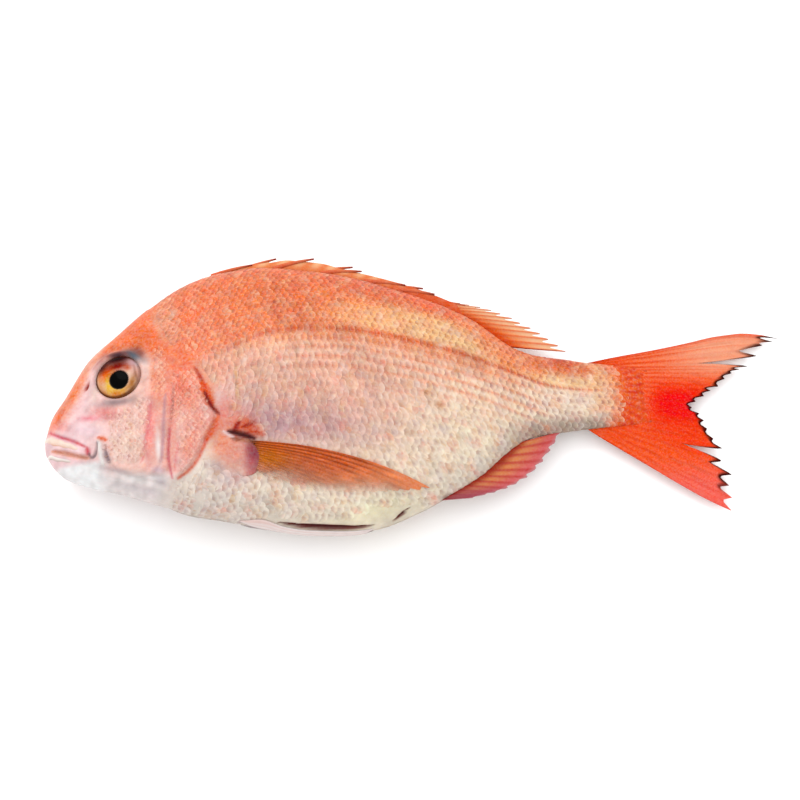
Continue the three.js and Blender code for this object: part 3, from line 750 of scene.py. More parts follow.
def noise(nodes, links, coordinates, scale, detail=3.0):
    node = nodes.new("ShaderNodeTexNoise")
    node.inputs["Scale"].default_value = scale
    node.inputs["Detail"].default_value = detail
    links.new(coordinates, node.inputs["Vector"])
    return node.outputs["Fac"]


def graded(nodes, links, value, low, high, to_low, to_high):
    node = nodes.new("ShaderNodeMapRange")
    node.inputs["From Min"].default_value = low
    node.inputs["From Max"].default_value = high
    node.inputs["To Min"].default_value = to_low
    node.inputs["To Max"].default_value = to_high
    links.new(value, node.inputs["Value"])
    return node.outputs["Result"]


def tinted_material(name, mottle, grain_scale, bump_depth, roughness, **finish):
    """Colour from the tint attribute, mottled by noise, with grain in the bump and gloss."""
    material, nodes, links, shader = new_material(name, roughness, **finish)
    place = nodes.new("ShaderNodeTexCoord").outputs["Object"]
    paint = nodes.new("ShaderNodeAttribute")
    paint.attribute_name = "tint"
    coarse = noise(nodes, links, place, grain_scale * 0.3)
    fine = noise(nodes, links, place, grain_scale)
    tone = nodes.new("ShaderNodeHueSaturation")
    links.new(paint.outputs["Color"], tone.inputs["Color"])
    value = graded(nodes, links, coarse, 0.3, 0.7, 1 - mottle, 1 + mottle)
    links.new(value, tone.inputs["Value"])
    strength = graded(nodes, links, fine, 0.3, 0.7, 1 + 1.6 * mottle, 1 - 1.6 * mottle)
    links.new(strength, tone.inputs["Saturation"])
    cast = noise(nodes, links, place, grain_scale * 0.6, 1.0)
    hue = graded(nodes, links, cast, 0.3, 0.7, 0.5 - 0.07 * mottle, 0.5 + 0.07 * mottle)
    links.new(hue, tone.inputs["Hue"])
    links.new(tone.outputs["Color"], shader.inputs["Base Color"])
    gloss = graded(nodes, links, fine, 0.35, 0.65, roughness * 0.8, roughness * 1.25)
    links.new(gloss, shader.inputs["Roughness"])
    bump = nodes.new("ShaderNodeBump")
    bump.inputs["Distance"].default_value = bump_depth
    bump.inputs["Strength"].default_value = 0.7
    links.new(fine, bump.inputs["Height"])
    links.new(bump.outputs["Normal"], shader.inputs["Normal"])
    return material


def let_through(material, name):
    """The piece lets what lies under it show by one minus the named attribute."""
    nodes, links = material.node_tree.nodes, material.node_tree.links
    cover = nodes.new("ShaderNodeAttribute")
    cover.attribute_name = name
    links.new(cover.outputs["Fac"], nodes["Principled BSDF"].inputs["Alpha"])


WET = {"coat": 0.03, "coat_roughness": 0.2}
SKIN = tinted_material("wet_skin", 0.08, 1000, 0.00015, 0.42, specular=0.1, under=0.06, **WET)
SCALE = tinted_material("scales", 0.08, 1250, 0.0001, 0.42, specular=0.2, **WET)
FIN = tinted_material("fin_web", 0.035, 1500, 0.00006, 0.6, specular=0.02)
CLEAR_FIN = tinted_material("clear_fin_web", 0.05, 1400, 0.00008, 0.45, specular=0.07)
let_through(CLEAR_FIN, "cover")
LIP = tinted_material(
    "lips", 0.04, 1100, 0.0001, 0.36, specular=0.3, coat=0.1, coat_roughness=0.2, under=0.08)
EYE_WET = tinted_material(
    "wet_eye", 0.06, 1200, 0.00001, 0.25, specular=0.01, coat=0.02, coat_roughness=0.03)


def finish_piece(ob, material, smooth_to=None):
    ob.data.materials.clear()
    ob.data.materials.append(material)
    smooth_shade(ob, smooth_to)
    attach(ob, "root")


# The body under the scales

HEAD_COLUMNS = 150
TRUNK_COLUMNS = 96
UPPER_FACES = 178
UNDER_FACES = 112
NECK = 88
SKIN_SUNK = 0.3


def body_stations(share):
    """Columns lie close together over the head and wider over the scaled trunk."""
    columns = share * (HEAD_COLUMNS + TRUNK_COLUMNS)
    head = np.clip(columns / HEAD_COLUMNS, 0, 1) * NECK
    trunk = np.clip((columns - HEAD_COLUMNS) / TRUNK_COLUMNS, 0, 1) * (BODY_END - NECK)
    return head + trunk


def make_body():
    count = UPPER_FACES + UNDER_FACES
    ob, share, around = sheet_primitive("body", HEAD_COLUMNS + TRUNK_COLUMNS, count)
    s = body_stations(share)
    faces = around * count
    upper = faces <= UPPER_FACES + 0.01
    side = np.where(upper, 1, -1)
    up = np.where(upper, faces / UPPER_FACES, 1 - (faces - UPPER_FACES) / UNDER_FACES)
    turn = turn_by_share(s, up)
    h = flesh(s, turn, side)[:, 1]
    is_head = fade(-0.5, 0.8, s - gill_limit(h))
    lift = head_relief(s, h) * fade(86, 90, s)
    lift = lift * smooth(0, 6, s) * np.clip(np.cos(turn) * 3, 0, 1)
    lift -= SKIN_SUNK * (1 - is_head)
    lift += 0.16 * wander(s, h, 4.5, 7) * blob(s, h, 73, -6, 9, 13) * (1 - is_head)
    paint = skin_colour(s, turn, side)
    for cut in KEEL_CUTS:
        inside = cut_share(cut, s, turn, side)
        lift -= cut["deep"] * inside
        # The cuts are painted dark red: the flesh inside, with painted shade in the slit.
        paint = mix(paint, CUT_RED_AND_SHADE, 0.97 * inside ** 0.4)
    put_points(ob, row(skin(s, turn, side, lift)))
    tint(ob, with_tail_base(paint, s, h))
    close_sheet(ob)
    finish_piece(ob, SKIN)
    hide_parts("fish")


def with_tail_base(base, s, h):
    """Past the last scales the skin takes the tail fin's colour and the lines of its rays."""
    spread = TAIL_ROOT["spread"]
    bearing = np.degrees(np.arctan2(h - TAIL_ROOT["h"], np.maximum(s - TAIL_ROOT["s"], 0.5)))
    ray = (spread - bearing) / (2 * spread) * (len(TAIL_TIPS) - 1)
    fin = mix((248, 100, 52), (228, 66, 28), on_ray(ray, 3))
    fin = mix(fin, (200, 96, 54), 0.4 * smooth(0.0, 1.0, np.sin(s * 2.6) * np.sin(h * 2.8)))
    return mix(base, fin, smooth(-5, 3, s - scale_end(h)))


def scale_end(h):
    """The curved line where the scales of the tail stalk give way to the fin."""
    return 237.4 - 0.022 * (h - 11) ** 2


# Scales: one scale is modelled, then laid in rows parallel to the lateral line

SCALE_ALONG = 4
SCALE_ACROSS = 6
SCALE_PITCH = 2.6
SCALE_SLOPE = 0.05
ROWS_BELOW = 28
ROWS_ABOVE = 22
SCALES_IN_ROW = 90
FIRST_SCALE = 38
LAST_SCALE = 242
above_row_at = profile([(40, 2.5), (110, 2.7), (170, 2.8), (205, 2.6), (247, 2.3)])
below_row_at = profile([(50, 4.0), (70, 4.4), (125, 4.3), (170, 3.6), (205, 2.8), (247, 2.4)])


def one_scale():
    """One scale: shares along it, 0 at the front, and across it, -1 to 1, and its underside."""
    ob, along, across = sheet_primitive("one_scale", SCALE_ALONG, SCALE_ACROSS)
    put_points(ob, np.stack([along, across * 2 - 1, 0 * along], -1))
    in_edit_mode(
        ob,
        lambda: bpy.ops.mesh.select_all(action="DESELECT"),
        lambda: bpy.ops.mesh.select_non_manifold(),
        lambda: bpy.ops.mesh.edge_face_add(),
        lambda: bpy.ops.mesh.poke(),
        lambda: bpy.ops.mesh.select_all(action="SELECT"),
        lambda: bpy.ops.mesh.normals_make_consistent(inside=False),
        lambda: bpy.ops.mesh.quads_convert_to_tris(),
    )
    points = points_of(ob)
    below = np.zeros(len(points), bool)
    below[(SCALE_ALONG + 1) * (SCALE_ACROSS + 1):] = True
    faces = np.array([tuple(p.vertices) for p in ob.data.polygons])
    top = faces[~below[faces].any(1)][0]
    a, b, c = points[top]
    if np.cross(b - a, c - a)[2] < 0:
        faces = faces[:, ::-1]
    bpy.data.objects.remove(ob)
    along = np.interp(points[:, 0], [0, 0.25, 0.5, 0.75, 1], [0, 0.4, 0.56, 0.84, 1])
    return along, points[:, 1], below, faces


def join_scales(name, points, faces, side, paint):
    """The copies of the scale, laid out by points, as one piece."""
    count, each = points.shape[:2]
    all_faces = (faces[None] + (np.arange(count) * each)[:, None, None]).reshape(-1, 3)
    if side < 0:
        all_faces = all_faces[:, ::-1]
    mesh = bpy.data.meshes.new(name)
    mesh.from_pydata(row(points).reshape(-1, 3).tolist(), [], all_faces.tolist())
    ob = bpy.data.objects.new(name, mesh)
    bpy.context.scene.collection.objects.link(ob)
    tint(ob, paint.reshape(-1, 3))
    finish_piece(ob, SCALE, smooth_to=50)


SCALE_CASTS = [
    (255, 232, 190), (196, 172, 180), (244, 132, 112), (252, 240, 236), (214, 150, 96),
]


def scale_paint(draw, base, s, h, along, across, edge_highlight_paint, edge_highlight_by, pore_and_shadow_paint, pore_and_shadow_by, shade=1):
    """Freckles in several tints, painted shade at the exposed base under the scale in front, a paler free
    edge that is a painted highlight, and a small dark spot ahead of it that is part pore and part painted
    shadow.
    """
    count, each = base.shape[:2]
    tone = 1 + draw.normal(0, 0.024, (count, 1)) + draw.normal(0, 0.03, (count, each))
    # Painted shade at the exposed base, under the edge of the scale in front, and painted light towards the
    # free edge.
    tone = tone + shade * np.interp(along, [0.4, 0.56, 0.84, 1], [-0.11, -0.03, 0.035, 0.045])
    paint = base * tone[..., None]
    for k, cast in enumerate(SCALE_CASTS):
        drift = 0.2 * wander(s, h, 7, 60 + k)
        drift = drift + draw.normal(0, 0.08, (count, 1)) + draw.normal(0, 0.1, (count, each))
        paint = mix(paint, cast, np.clip(drift - 0.06, 0, 0.5))
    # A painted highlight along the free edge.
    free_edge_highlight = bell((1 - along) / 0.13)[None] * bell(across / 0.75)
    paint = mix(paint, edge_highlight_paint, edge_highlight_by * free_edge_highlight * draw.uniform(0.4, 1.4, (count, 1)))
    # A small dark spot, part pore and part painted shadow where the scales overlap.
    pore_and_shadow = (bell((along - 0.5) / 0.1) * bell(across / 0.4))[None] * draw.uniform(0.0, 1.5, (count, 1))
    return mix(paint, pore_and_shadow_paint, np.clip(pore_and_shadow_by * pore_and_shadow, 0, 1))


def row_place(j, s):
    """How far round from the lateral line row j lies: rows are finer over the back."""
    if j > 0:
        return float(above_row_at(s)) * (j + 0.3)
    return float(below_row_at(s)) * (j + 0.0077 * j * j)


def row_half(by, s):
    """Half the height of a scale there."""
    pitch = below_row_at(s)
    below = pitch * (1 - 0.0154 * np.clip(-by / (0.9 * pitch), 0, 24))
    return np.where(by > 0.6 * pitch, above_row_at(s), below) * 0.88


def scale_flat(s, by):
    """1 where the scales lie flat and soft, on the belly and the tail stalk; 0 over the back."""
    to_belly = smooth(6, 34, -by)
    return np.clip(np.maximum(0.45 * smooth(0, 5, -by) + 0.55 * to_belly, smooth(186, 214, s)), 0, 1)


def scale_centres(draw, side):
    """Station and distance round of each scale of one flank."""
    centres = []
    for j in range(-ROWS_BELOW, ROWS_ABOVE):
        first = FIRST_SCALE + 0.5 * (j % 2) * SCALE_PITCH
        for i in range(SCALES_IN_ROW):
            s = first + i * SCALE_PITCH + draw.normal(0, 0.1)
            by = row_place(j, s) * float(np.interp(s, [40, 58, 70], [0.8, 0.92, 1]))
            by += draw.normal(0, 0.1)
            if s > LAST_SCALE or not float(girth_low(s)) + 0.6 < by < float(girth_high(s)) - 0.8:
                continue
            turn = float(turn_round(s, np.array(by)))
            h = float(flesh(np.array(s), np.array(turn), 1)[1])
            if s < float(gill_limit(h)) + 3 or s > float(scale_end(h)) + draw.normal(0, 0.5):
                continue
            if is_bare(s, h, (math.degrees(turn) + 90) * side):
                continue
            centres.append((s, by))
    return np.array(centres)


def lay_scales(name, side, seed):
    """The scales of one flank, in rows that follow the lateral line."""
    along, across, below, faces = one_scale()
    draw = np.random.default_rng(seed)
    centres = scale_centres(draw, side)
    count = len(centres)
    s0, by0 = centres[:, :1], centres[:, 1:]
    size = draw.uniform(0.94, 1.08, (count, 1))
    edge = SCALE_PITCH * (0.62 - 0.75 * np.abs(across) ** 2.1)
    long = SCALE_PITCH * (1.75 - 0.35 * across ** 2)
    s = s0 + edge - (1 - along) * long * size
    by = by0 + across * row_half(by0, s0) * size
    tip = draw.normal(0, 0.03, (count, 1)) * across
    flat = scale_flat(s0, by0)
    slope = SCALE_SLOPE * (1 - 0.6 * flat)
    lift = 0.07 - SKIN_SUNK + slope * (s - s0) - 0.03 * across ** 2
    lift = lift + 0.014 * draw.normal(size=(count, 1)) + tip
    lift = lift - np.where(below, 0.32, 0) - np.where(along == 0, 0.25, 0)
    lift = np.minimum(lift, -0.02) if side < 0 else lift
    s = np.clip(s, 0, BODY_END)
    turn = turn_round(s, by)
    h = flesh(s, turn, side)[..., 1]
    ahead_of_cover = fade(0, 1.6, s - gill_limit(h) - 1.4)
    lift = lift - 1.4 * ahead_of_cover - 0.1 * smooth(-6, 0, s - scale_end(lateral_at(s)))
    high = smooth(0.5, 0.8, (h - belly_at(s)) / (back_at(s) - belly_at(s)))
    # The free edges get a painted highlight, whiter below and yellower over the back; the dark spots are
    # part pore, part painted shadow.
    edge_highlight_paint = mix((255, 242, 228), (255, 200, 150), high)
    pore_and_shadow_paint = mix((150, 106, 106), (170, 66, 34), high)
    rear = smooth(170, 200, s)
    edge_highlight_by = 0.26 + 0.16 * rear * (1 - high)
    pore_and_shadow_by = 0.35 + 0.25 * rear
    base = skin_colour(s, turn, side)
    paint = scale_paint(
        draw, base, s, h, along, across, edge_highlight_paint, edge_highlight_by, pore_and_shadow_paint, pore_and_shadow_by, 1 - 0.6 * flat)
    join_scales(name, skin(s, turn, side, lift), faces, side, paint)


BARE_SKIN = [(77.5, -7, 8.6, 8.6), (80, -15.5, 8.4, 8.6), (72, -9, 8.5, 11.5), (70, 6, 6.4, 9)]


def is_bare(s, h, round_from_keel):
    """The axil, the root of the breast fin and the cut edge of the belly carry no scales."""
    for s0, h0, reach_s, reach_h in BARE_SKIN:
        if ((s - s0) / reach_s) ** 2 + ((h - h0) / reach_h) ** 2 < 1:
            return True
    bare_to = np.interp(s, [74, 90, 120, 132, 146, 154], [-2, 20, 24, 30, 27, -2])
    return -2 < round_from_keel < float(bare_to)


HEAD_PITCH = 2.3
HEAD_ROW = 1.55
HEAD_SCALE_LEAN = math.radians(-10)
# Stations and heights of the cheek, of the skin behind the eye and of the gill cover.
SCALED_HEAD = [((27, 43.5), (-12.5, 11)), ((41.5, 50), (14, 34)), ((53.5, 66), (-19, 22))]


def lay_head_scales(name, side, seed):
    """The small scales of the cheek, the gill cover and behind the eye."""
    along, across, below, faces = one_scale()
    draw = np.random.default_rng(seed)
    centres = []
    for (start, stop), (low, high) in SCALED_HEAD:
        for j in range(int((high - low) / HEAD_ROW) + 1):
            h = low + j * HEAD_ROW
            for i in range(int((stop - start) / HEAD_PITCH) + 1):
                s = start + (i + 0.5 * (j % 2)) * HEAD_PITCH + draw.normal(0, 0.25)
                if on_scaled_head(s, h):
                    centres.append((s, h + draw.normal(0, 0.22)))
    centres = np.array(centres)
    count = len(centres)
    s0, h0 = centres[:, :1], centres[:, 1:]
    size = draw.uniform(0.9, 1.1, (count, 1))
    edge = HEAD_PITCH * (0.62 - 0.75 * np.abs(across) ** 2.1)
    long = HEAD_PITCH * (1.6 - 0.35 * across ** 2)
    ahead = edge - (1 - along) * long * size
    aside = across * 1.45 * size
    s = s0 + ahead * math.cos(HEAD_SCALE_LEAN) - aside * math.sin(HEAD_SCALE_LEAN)
    h = h0 + ahead * math.sin(HEAD_SCALE_LEAN) + aside * math.cos(HEAD_SCALE_LEAN)
    lift = head_relief(s, h) + SCALE_SLOPE * (s - s0) - 0.02 * across ** 2
    lift = lift + 0.02 + 0.02 * draw.normal(size=(count, 1))
    lift = lift - np.where(below, 0.3, 0) - np.where(along == 0, 0.22, 0)
    base = skin_colour(s, turn_at(s, h), side)
    # Each head scale gets a painted highlight on its free edge and a dark spot that is part pore, part
    # painted shadow.
    paint = scale_paint(draw, base, s, h, along, across, (255, 226, 206), 0.2, (190, 92, 78), 0.35)
    join_scales(name, on_skin(s, h, side, lift), faces, side, paint)


def on_scaled_head(s, h):
    out = math.hypot(s - EYE["s"], h - EYE["h"])
    if out < EYELID + 5 or s > float(gill_limit(h)) - 2:
        return False
    if s < 45:
        return s < 42.6 - 0.12 * (4 - h) and h > -13 + 0.3 * abs(s - 35) and h < 10 + 0.5 * (s - 34)
    if s < 52:
        return h > 13
    return s > 53.6 - 0.1 * h and h < 21


# Fins: a sheet shaped along its rays, then given its thickness

def ray_lines(roots, tips, bow):
    """Points along each ray, a bent line from its root to its tip, by ray and share."""
    roots, tips = np.array(roots, float), np.array(tips, float)
    run = tips - roots
    across = np.stack([-run[:, 1], run[:, 0]], -1) / np.linalg.norm(run, axis=1, keepdims=True)
    knees = (roots + tips) / 2 + across * np.array(bow)[:, None]

    def at(ray, share):
        i = np.clip(ray.astype(int), 0, len(roots) - 2)
        f = (ray - i)[..., None]
        t = share[..., None]
        root = roots[i] * (1 - f) + roots[i + 1] * f
        knee = knees[i] * (1 - f) + knees[i + 1] * f
        tip = tips[i] * (1 - f) + tips[i + 1] * f
        return root * (1 - t) ** 2 + knee * 2 * t * (1 - t) + tip * t ** 2

    return at


def along_line(line, count):
    """Evenly shared points along a line, by its length."""
    length, at = walk(smoothed(line))
    return at(np.linspace(0, length, count))


# The tail fin

TAIL_TIPS = [
    (302.9, 32.6), (300.6, 31.4), (296.2, 30), (293.4, 25.4), (289, 20.9), (285.6, 19.8),
    (282.2, 18.2), (279, 15.8), (276, 12.6), (272.6, 10.8), (269.6, 8.6), (265.9, 6.4),
    (264.2, 3.8), (267, 1.2), (268.6, -1.8), (269.6, -5.4), (271.8, -9.8), (275, -14.2),
    (274, -19.6), (277.6, -26), (276, -30.6), (276.7, -35.8), (276, -41.2),
]
TAIL_ROOT = {"s": 221, "h": 11, "reach_s": 13, "reach_h": 13.6, "spread": 98}
tail_height_at = profile([(220, 7.4), (245, 5.6), (265, 4.2), (285, 3.2), (304, 2.6)])
# The leading edge of the upper lobe bulges most near its tip.
lead_bulge = profile([
    (0, 0), (0.17, 0.28), (0.38, 0.5), (0.55, 0.75), (0.7, 1), (0.8, 0.98), (0.9, 0.65), (1, 0),
])
FACES_PER_RAY = 10
# Deep splits between two rays: after which ray, and how deep.
TAIL_SPLITS = [(3, 0.3), (17, 0.3), (2, 0.06), (18, 0.09)]
TAIL_DABS = [
    (246, 2, 12, 12, -10, (250, 70, 34), 0.8), (260, 5, 13, 7, -10, (255, 0, 0), 1),
    (267, 2, 5, 12, 0, (240, 52, 26), 0.6), (262, -10, 12, 6, -30, (255, 58, 30), 0.6),
]


def on_ray(ray, sharp):
    """1 on a ray, 0 in the web between two."""
    return np.abs(np.cos(math.pi * ray)) ** sharp


def in_web(ray, sharp):
    return np.abs(np.sin(math.pi * ray)) ** sharp


def ray_wave(ray):
    return on_ray(ray, 2.2)


def fin_sheet(name, lines, ray_count, rows, end_at, place, half_at, paint_at, material=FIN, cover_at=None):
    """A fin: columns run across its rays, rows from root to tip; each ray stands proud of the web."""
    ob, share, along = sheet_primitive(name, (ray_count - 1) * FACES_PER_RAY, rows)
    ray = share * (ray_count - 1)
    t = along * end_at(ray)
    flat = lines(ray, t)
    half = half_at(ray, t)
    upper, lower = row(place(flat, half)), row(place(flat, -half))
    count = len(share)
    faces = [tuple(p.vertices) for p in ob.data.polygons]
    edges = {e for f in faces for e in zip(f, f[1:] + f[:1])}
    rim = [e for e in edges if (e[1], e[0]) not in edges]
    bpy.data.objects.remove(ob)
    solid = bpy.data.meshes.new(name)
    under = [tuple(v + count for v in reversed(f)) for f in faces]
    wall = [(b, a, a + count, b + count) for a, b in sorted(rim)]
    solid.from_pydata(np.concatenate([upper, lower]).tolist(), [], faces + under + wall)
    fin = bpy.data.objects.new(name, solid)
    bpy.context.scene.collection.objects.link(fin)
    paint = paint_at(ray, t, flat)
    tint(fin, np.concatenate([paint, paint]))
    if cover_at is not None:
        cover = cover_at(ray, t, flat)
        mark(fin, "cover", np.concatenate([cover, cover]))
    in_edit_mode(fin, lambda: bpy.ops.mesh.normals_make_consistent(inside=False))
    finish_piece(fin, material, smooth_to=60)


def make_tail():
    count = len(TAIL_TIPS)
    share = np.linspace(0, 1, count)
    turn = np.radians(TAIL_ROOT["spread"]) * (1 - 2 * share)
    roots = np.stack([
        TAIL_ROOT["s"] + TAIL_ROOT["reach_s"] * np.cos(turn),
        TAIL_ROOT["h"] + TAIL_ROOT["reach_h"] * np.sin(turn),
    ], -1)
    straight = ray_lines(roots, TAIL_TIPS, 0 * share)
    draw = np.random.default_rng(31)
    notch = draw.uniform(0.035, 0.075, count)
    last = count - 1

    def lines(ray, t):
        at = straight(ray, t)
        bulge = 4.6 * np.maximum(0, 1 - ray / 3.6) ** 1.3 * lead_bulge(t)
        bulge -= 1.6 * np.maximum(0, 1 - (last - ray) / 4) * lead_bulge(t ** 0.8)
        return at + np.stack([0 * bulge, bulge], -1)

    def end_at(ray):
        web = np.abs(ray - np.round(ray)) * 2
        end = 1 - notch[np.clip(ray.astype(int), 0, last)] * np.clip(web * 1.3, 0, 1)
        for split, deep in TAIL_SPLITS:
            near = np.clip(1 - np.abs(ray - split - 0.5) / 0.45, 0, 1)
            end = end - deep * near ** 1.2
        return np.maximum(end, 0.25)

    def place(flat, half):
        z = tail_height_at(flat[:, 0]) + 0.5 * np.sin(flat[:, 1] * 0.16) + half
        return np.stack([flat[:, 0], flat[:, 1], np.maximum(z, 0.15)], -1)

    def half_at(ray, t):
        branch = np.abs(np.cos(2 * math.pi * ray)) ** 3 * smooth(0.35, 0.6, t)
        proud = np.maximum(ray_wave(ray), 0.7 * branch)
        return (0.32 + 0.28 * proud) * (1 - 0.6 * t)

    def paint_at(ray, t, flat):
        s, h = flat[:, 0], flat[:, 1]
        base = mix((252, 96, 54), (255, 166, 130), smooth(240, 276, s) * smooth(11, 24, h))
        base = dabbed(base, s, h, TAIL_DABS)
        fine = on_ray(ray * np.where(t > 0.42, 2, 1), 5)
        uneven = 0.6 + 0.4 * wander(ray * 11, t * 14, 9, 18)
        pale = in_web(ray, 3) * between(0.1, 0.3, 0.8, 1, t) * (1 - blob(s, h, 260, 4, 14, 8))
        dark = fade(0.012, 0.05 * on_ray(ray, 2) + 0.03, end_at(ray) - t) * smooth(-36, -27, h)
        clear = smooth(21, 25, h) * smooth(0.3, 1.1, ray) * (1 - on_ray(ray, 2))
        base = coated(
            base,
            ((255, 112, 104), 0.85 * fade(-32, -14, h)),
            ((250, 150, 112), 0.5 * blob(s, h, 243, 8, 6, 12)),
            ((222, 46, 22), (0.36 - 0.16 * smooth(250, 290, s)) * fine * uneven),
            ((255, 196, 164), (0.1 + 0.35 * smooth(10, 24, h)) * pale * uneven),
            ((236, 70, 44), 0.5 * fade(0, 1.2, ray)),
            (INK, 0.9 * dark * smooth(0.78, 0.9, t) * (1 - 0.85 * clear)),
        )
        tone = 1 + 0.035 * wander(ray * 9, t * 40, 8, 17)
        return base * tone[:, None]

    fin_sheet("tail_fin", lines, count, 60, end_at, place, half_at, paint_at)


# The back and anal fins

def middle_fin(name, count, line_at, inset, start, stop, tips, tilt, paint_at, rows=26, notch=0.1):
    share = np.linspace(0, 1, count)
    s = start + (stop - start) * share
    roots = np.stack([s, line_at(s) + inset], -1)
    lines = ray_lines(roots, along_line(tips, count), 0 * share)

    def end_at(ray):
        return 1 - notch * (1 - on_ray(ray, 2.4)) - 0.03 * np.abs(np.sin(5 * ray))

    def place(flat, half):
        drop = tilt * np.abs(flat[:, 1] - line_at(flat[:, 0]))
        return np.stack([flat[:, 0], flat[:, 1], mid_height_at(flat[:, 0]) - drop + half], -1)

    def half_at(ray, t):
        return (0.2 + 0.5 * ray_wave(ray)) * (1 - 0.5 * t)

    fin_sheet(name, lines, count, rows, end_at, place, half_at, paint_at)


SOFT_DORSAL_TIPS = [(172, 52.8), (182, 51), (190.5, 48), (198, 43.6), (205, 39.1), (209, 35.6), (215, 30.4)]
ANAL_TIPS = [
    (171, -31.8), (180.4, -29.6), (188.4, -26.8), (196, -22), (200.4, -17.6), (204.6, -12.4),
    (209.9, -4.4),
]


def paint_dorsal(ray, t, flat):
    return coated(
        mix((246, 136, 82), (253, 198, 156), smooth(0.25, 0.75, t)),
        ((236, 104, 62), 0.75 * ray_wave(ray) ** 3),
        ((222, 76, 34), 0.85 * fade(0.12, 0.4, t)),
        ((170, 110, 90), 0.5 * smooth(0.93, 1, t)),
    )


def paint_anal(ray, t, flat):
    return coated(
        mix((232, 146, 96), (226, 112, 112), smooth(0.4, 0.85, t)),
        ((198, 72, 70), 0.7 * ray_wave(ray) ** 2),
        ((174, 88, 104), 0.8 * fade(0.5, 4.5, ray)),
        ((166, 50, 40), 0.8 * fade(0.14, 0.4, t)),
        ((206, 164, 170), 0.75 * smooth(0.84, 1, t)),
    )


SPINE_TIPS = [
    (87.4, 73), (97.4, 75.6), (113, 74.3), (128.8, 70.2), (132.4, 67.8), (139.4, 64.4),
    (150, 61), (157.2, 59.7), (161.8, 56.6), (174, 51.6),
]
SPINE_LENGTH = 17
SPINE_ROOT = 0.4
SPINE_BOW = 0.5
WEB_START = 66
WEB_END = 174
web_at = profile([
    (66, 0.2), (80, 1.6), (94, 2.6), (103, 4.4), (116, 4.4), (126, 3.2), (150, 3.8), (168, 3.6),
])


def spine_top(s):
    """How high the web and the laid-back spines stand over the back line."""
    top = web_at(s)
    for tip_s, tip_h in SPINE_TIPS:
        start = tip_s - SPINE_LENGTH
        low = back_at(start) - SPINE_ROOT
        share = (s - start) / SPINE_LENGTH
        bow = SPINE_BOW * np.sin(math.pi * np.clip(share, 0, 1))
        line = low + (tip_h - low) * share + bow - back_at(s)
        top = np.maximum(top, np.where((share > 0) & (share < 0.82), 0.8 * line, 0))
    return top


def make_spiny_web():
    ob, share, around = sheet_primitive("back_web", 260, 16)
    s = WEB_START + (WEB_END - WEB_START) * share
    rise = spine_top(s) * between(WEB_START, 72, 170, WEB_END, s)
    turn = around * 2 * math.pi
    h = back_at(s) + 0.5 * rise - 1 + (0.5 * rise + 1) * np.cos(turn)
    z = mid_height_at(s) + (0.8 - 0.3 * np.cos(turn)) * np.sin(turn) * smooth(66, 70, s)
    put_points(ob, row(np.stack([s, h, z], -1)))
    fold = 0.5 + 0.5 * np.sin(s * 0.8 - h * 0.9)
    base = mix((246, 138, 88), (255, 192, 144), fold * smooth(-0.4, 0.6, np.cos(turn)))
    base = mix(base, (220, 70, 40), 0.6 * smooth(130, 160, s))
    tint(ob, base)
    close_sheet(ob)
    finish_piece(ob, FIN)


def make_spines():
    """Each spine is a slim cone laid back along the web, with a darker point."""
    pieces = []
    for i, (s, h) in enumerate(SPINE_TIPS):
        start = s - SPINE_LENGTH
        aside = 0.5 if i % 2 == 0 else -0.5
        root = row((start, float(back_at(start)) - SPINE_ROOT, float(mid_height_at(start)) + aside))
        tip = row((s, h, float(mid_height_at(s)) + aside))
        run = Vector(tip - root)
        deselect()
        bpy.ops.mesh.primitive_cone_add(
            vertices=10, radius1=1.2 * MM, radius2=0.35 * MM, depth=run.length)
        ob = bpy.context.object
        in_edit_mode(ob, lambda: bpy.ops.mesh.subdivide(number_cuts=3))
        points = points_of(ob)
        share = points[:, 2] / run.length + 0.5
        turned = np.array([run.to_track_quat("Z", "Y") @ Vector(p) for p in points])
        turned[:, 1] += SPINE_BOW * MM * np.sin(math.pi * share)
        put_points(ob, turned + (root + tip) / 2)
        base = mix((236, 116, 80), (238, 134, 96), smooth(0.2, 0.7, share))
        tint(ob, mix(base, (150, 50, 44), smooth(0.7, 0.92, share)))
        pieces.append(ob)
    work_on(pieces[0])
    for ob in pieces:
        ob.select_set(True)
    bpy.ops.object.join()
    spines = bpy.context.object
    spines.name = "back_spines"
    finish_piece(spines, FIN, smooth_to=60)


# The breast fins lie back on the flanks

BREAST_TIPS = [
    (153.6, -29.8), (151, -30.7), (145.5, -31), (137.5, -31.8), (129.5, -32.2), (121.5, -32),
    (113.5, -31.2), (106, -29.8), (98, -27.8), (91, -25.8),
]
BREAST_ROOT = {"top": (82.5, -10), "bottom": (84, -21)}
BREAST_RAYS = 15


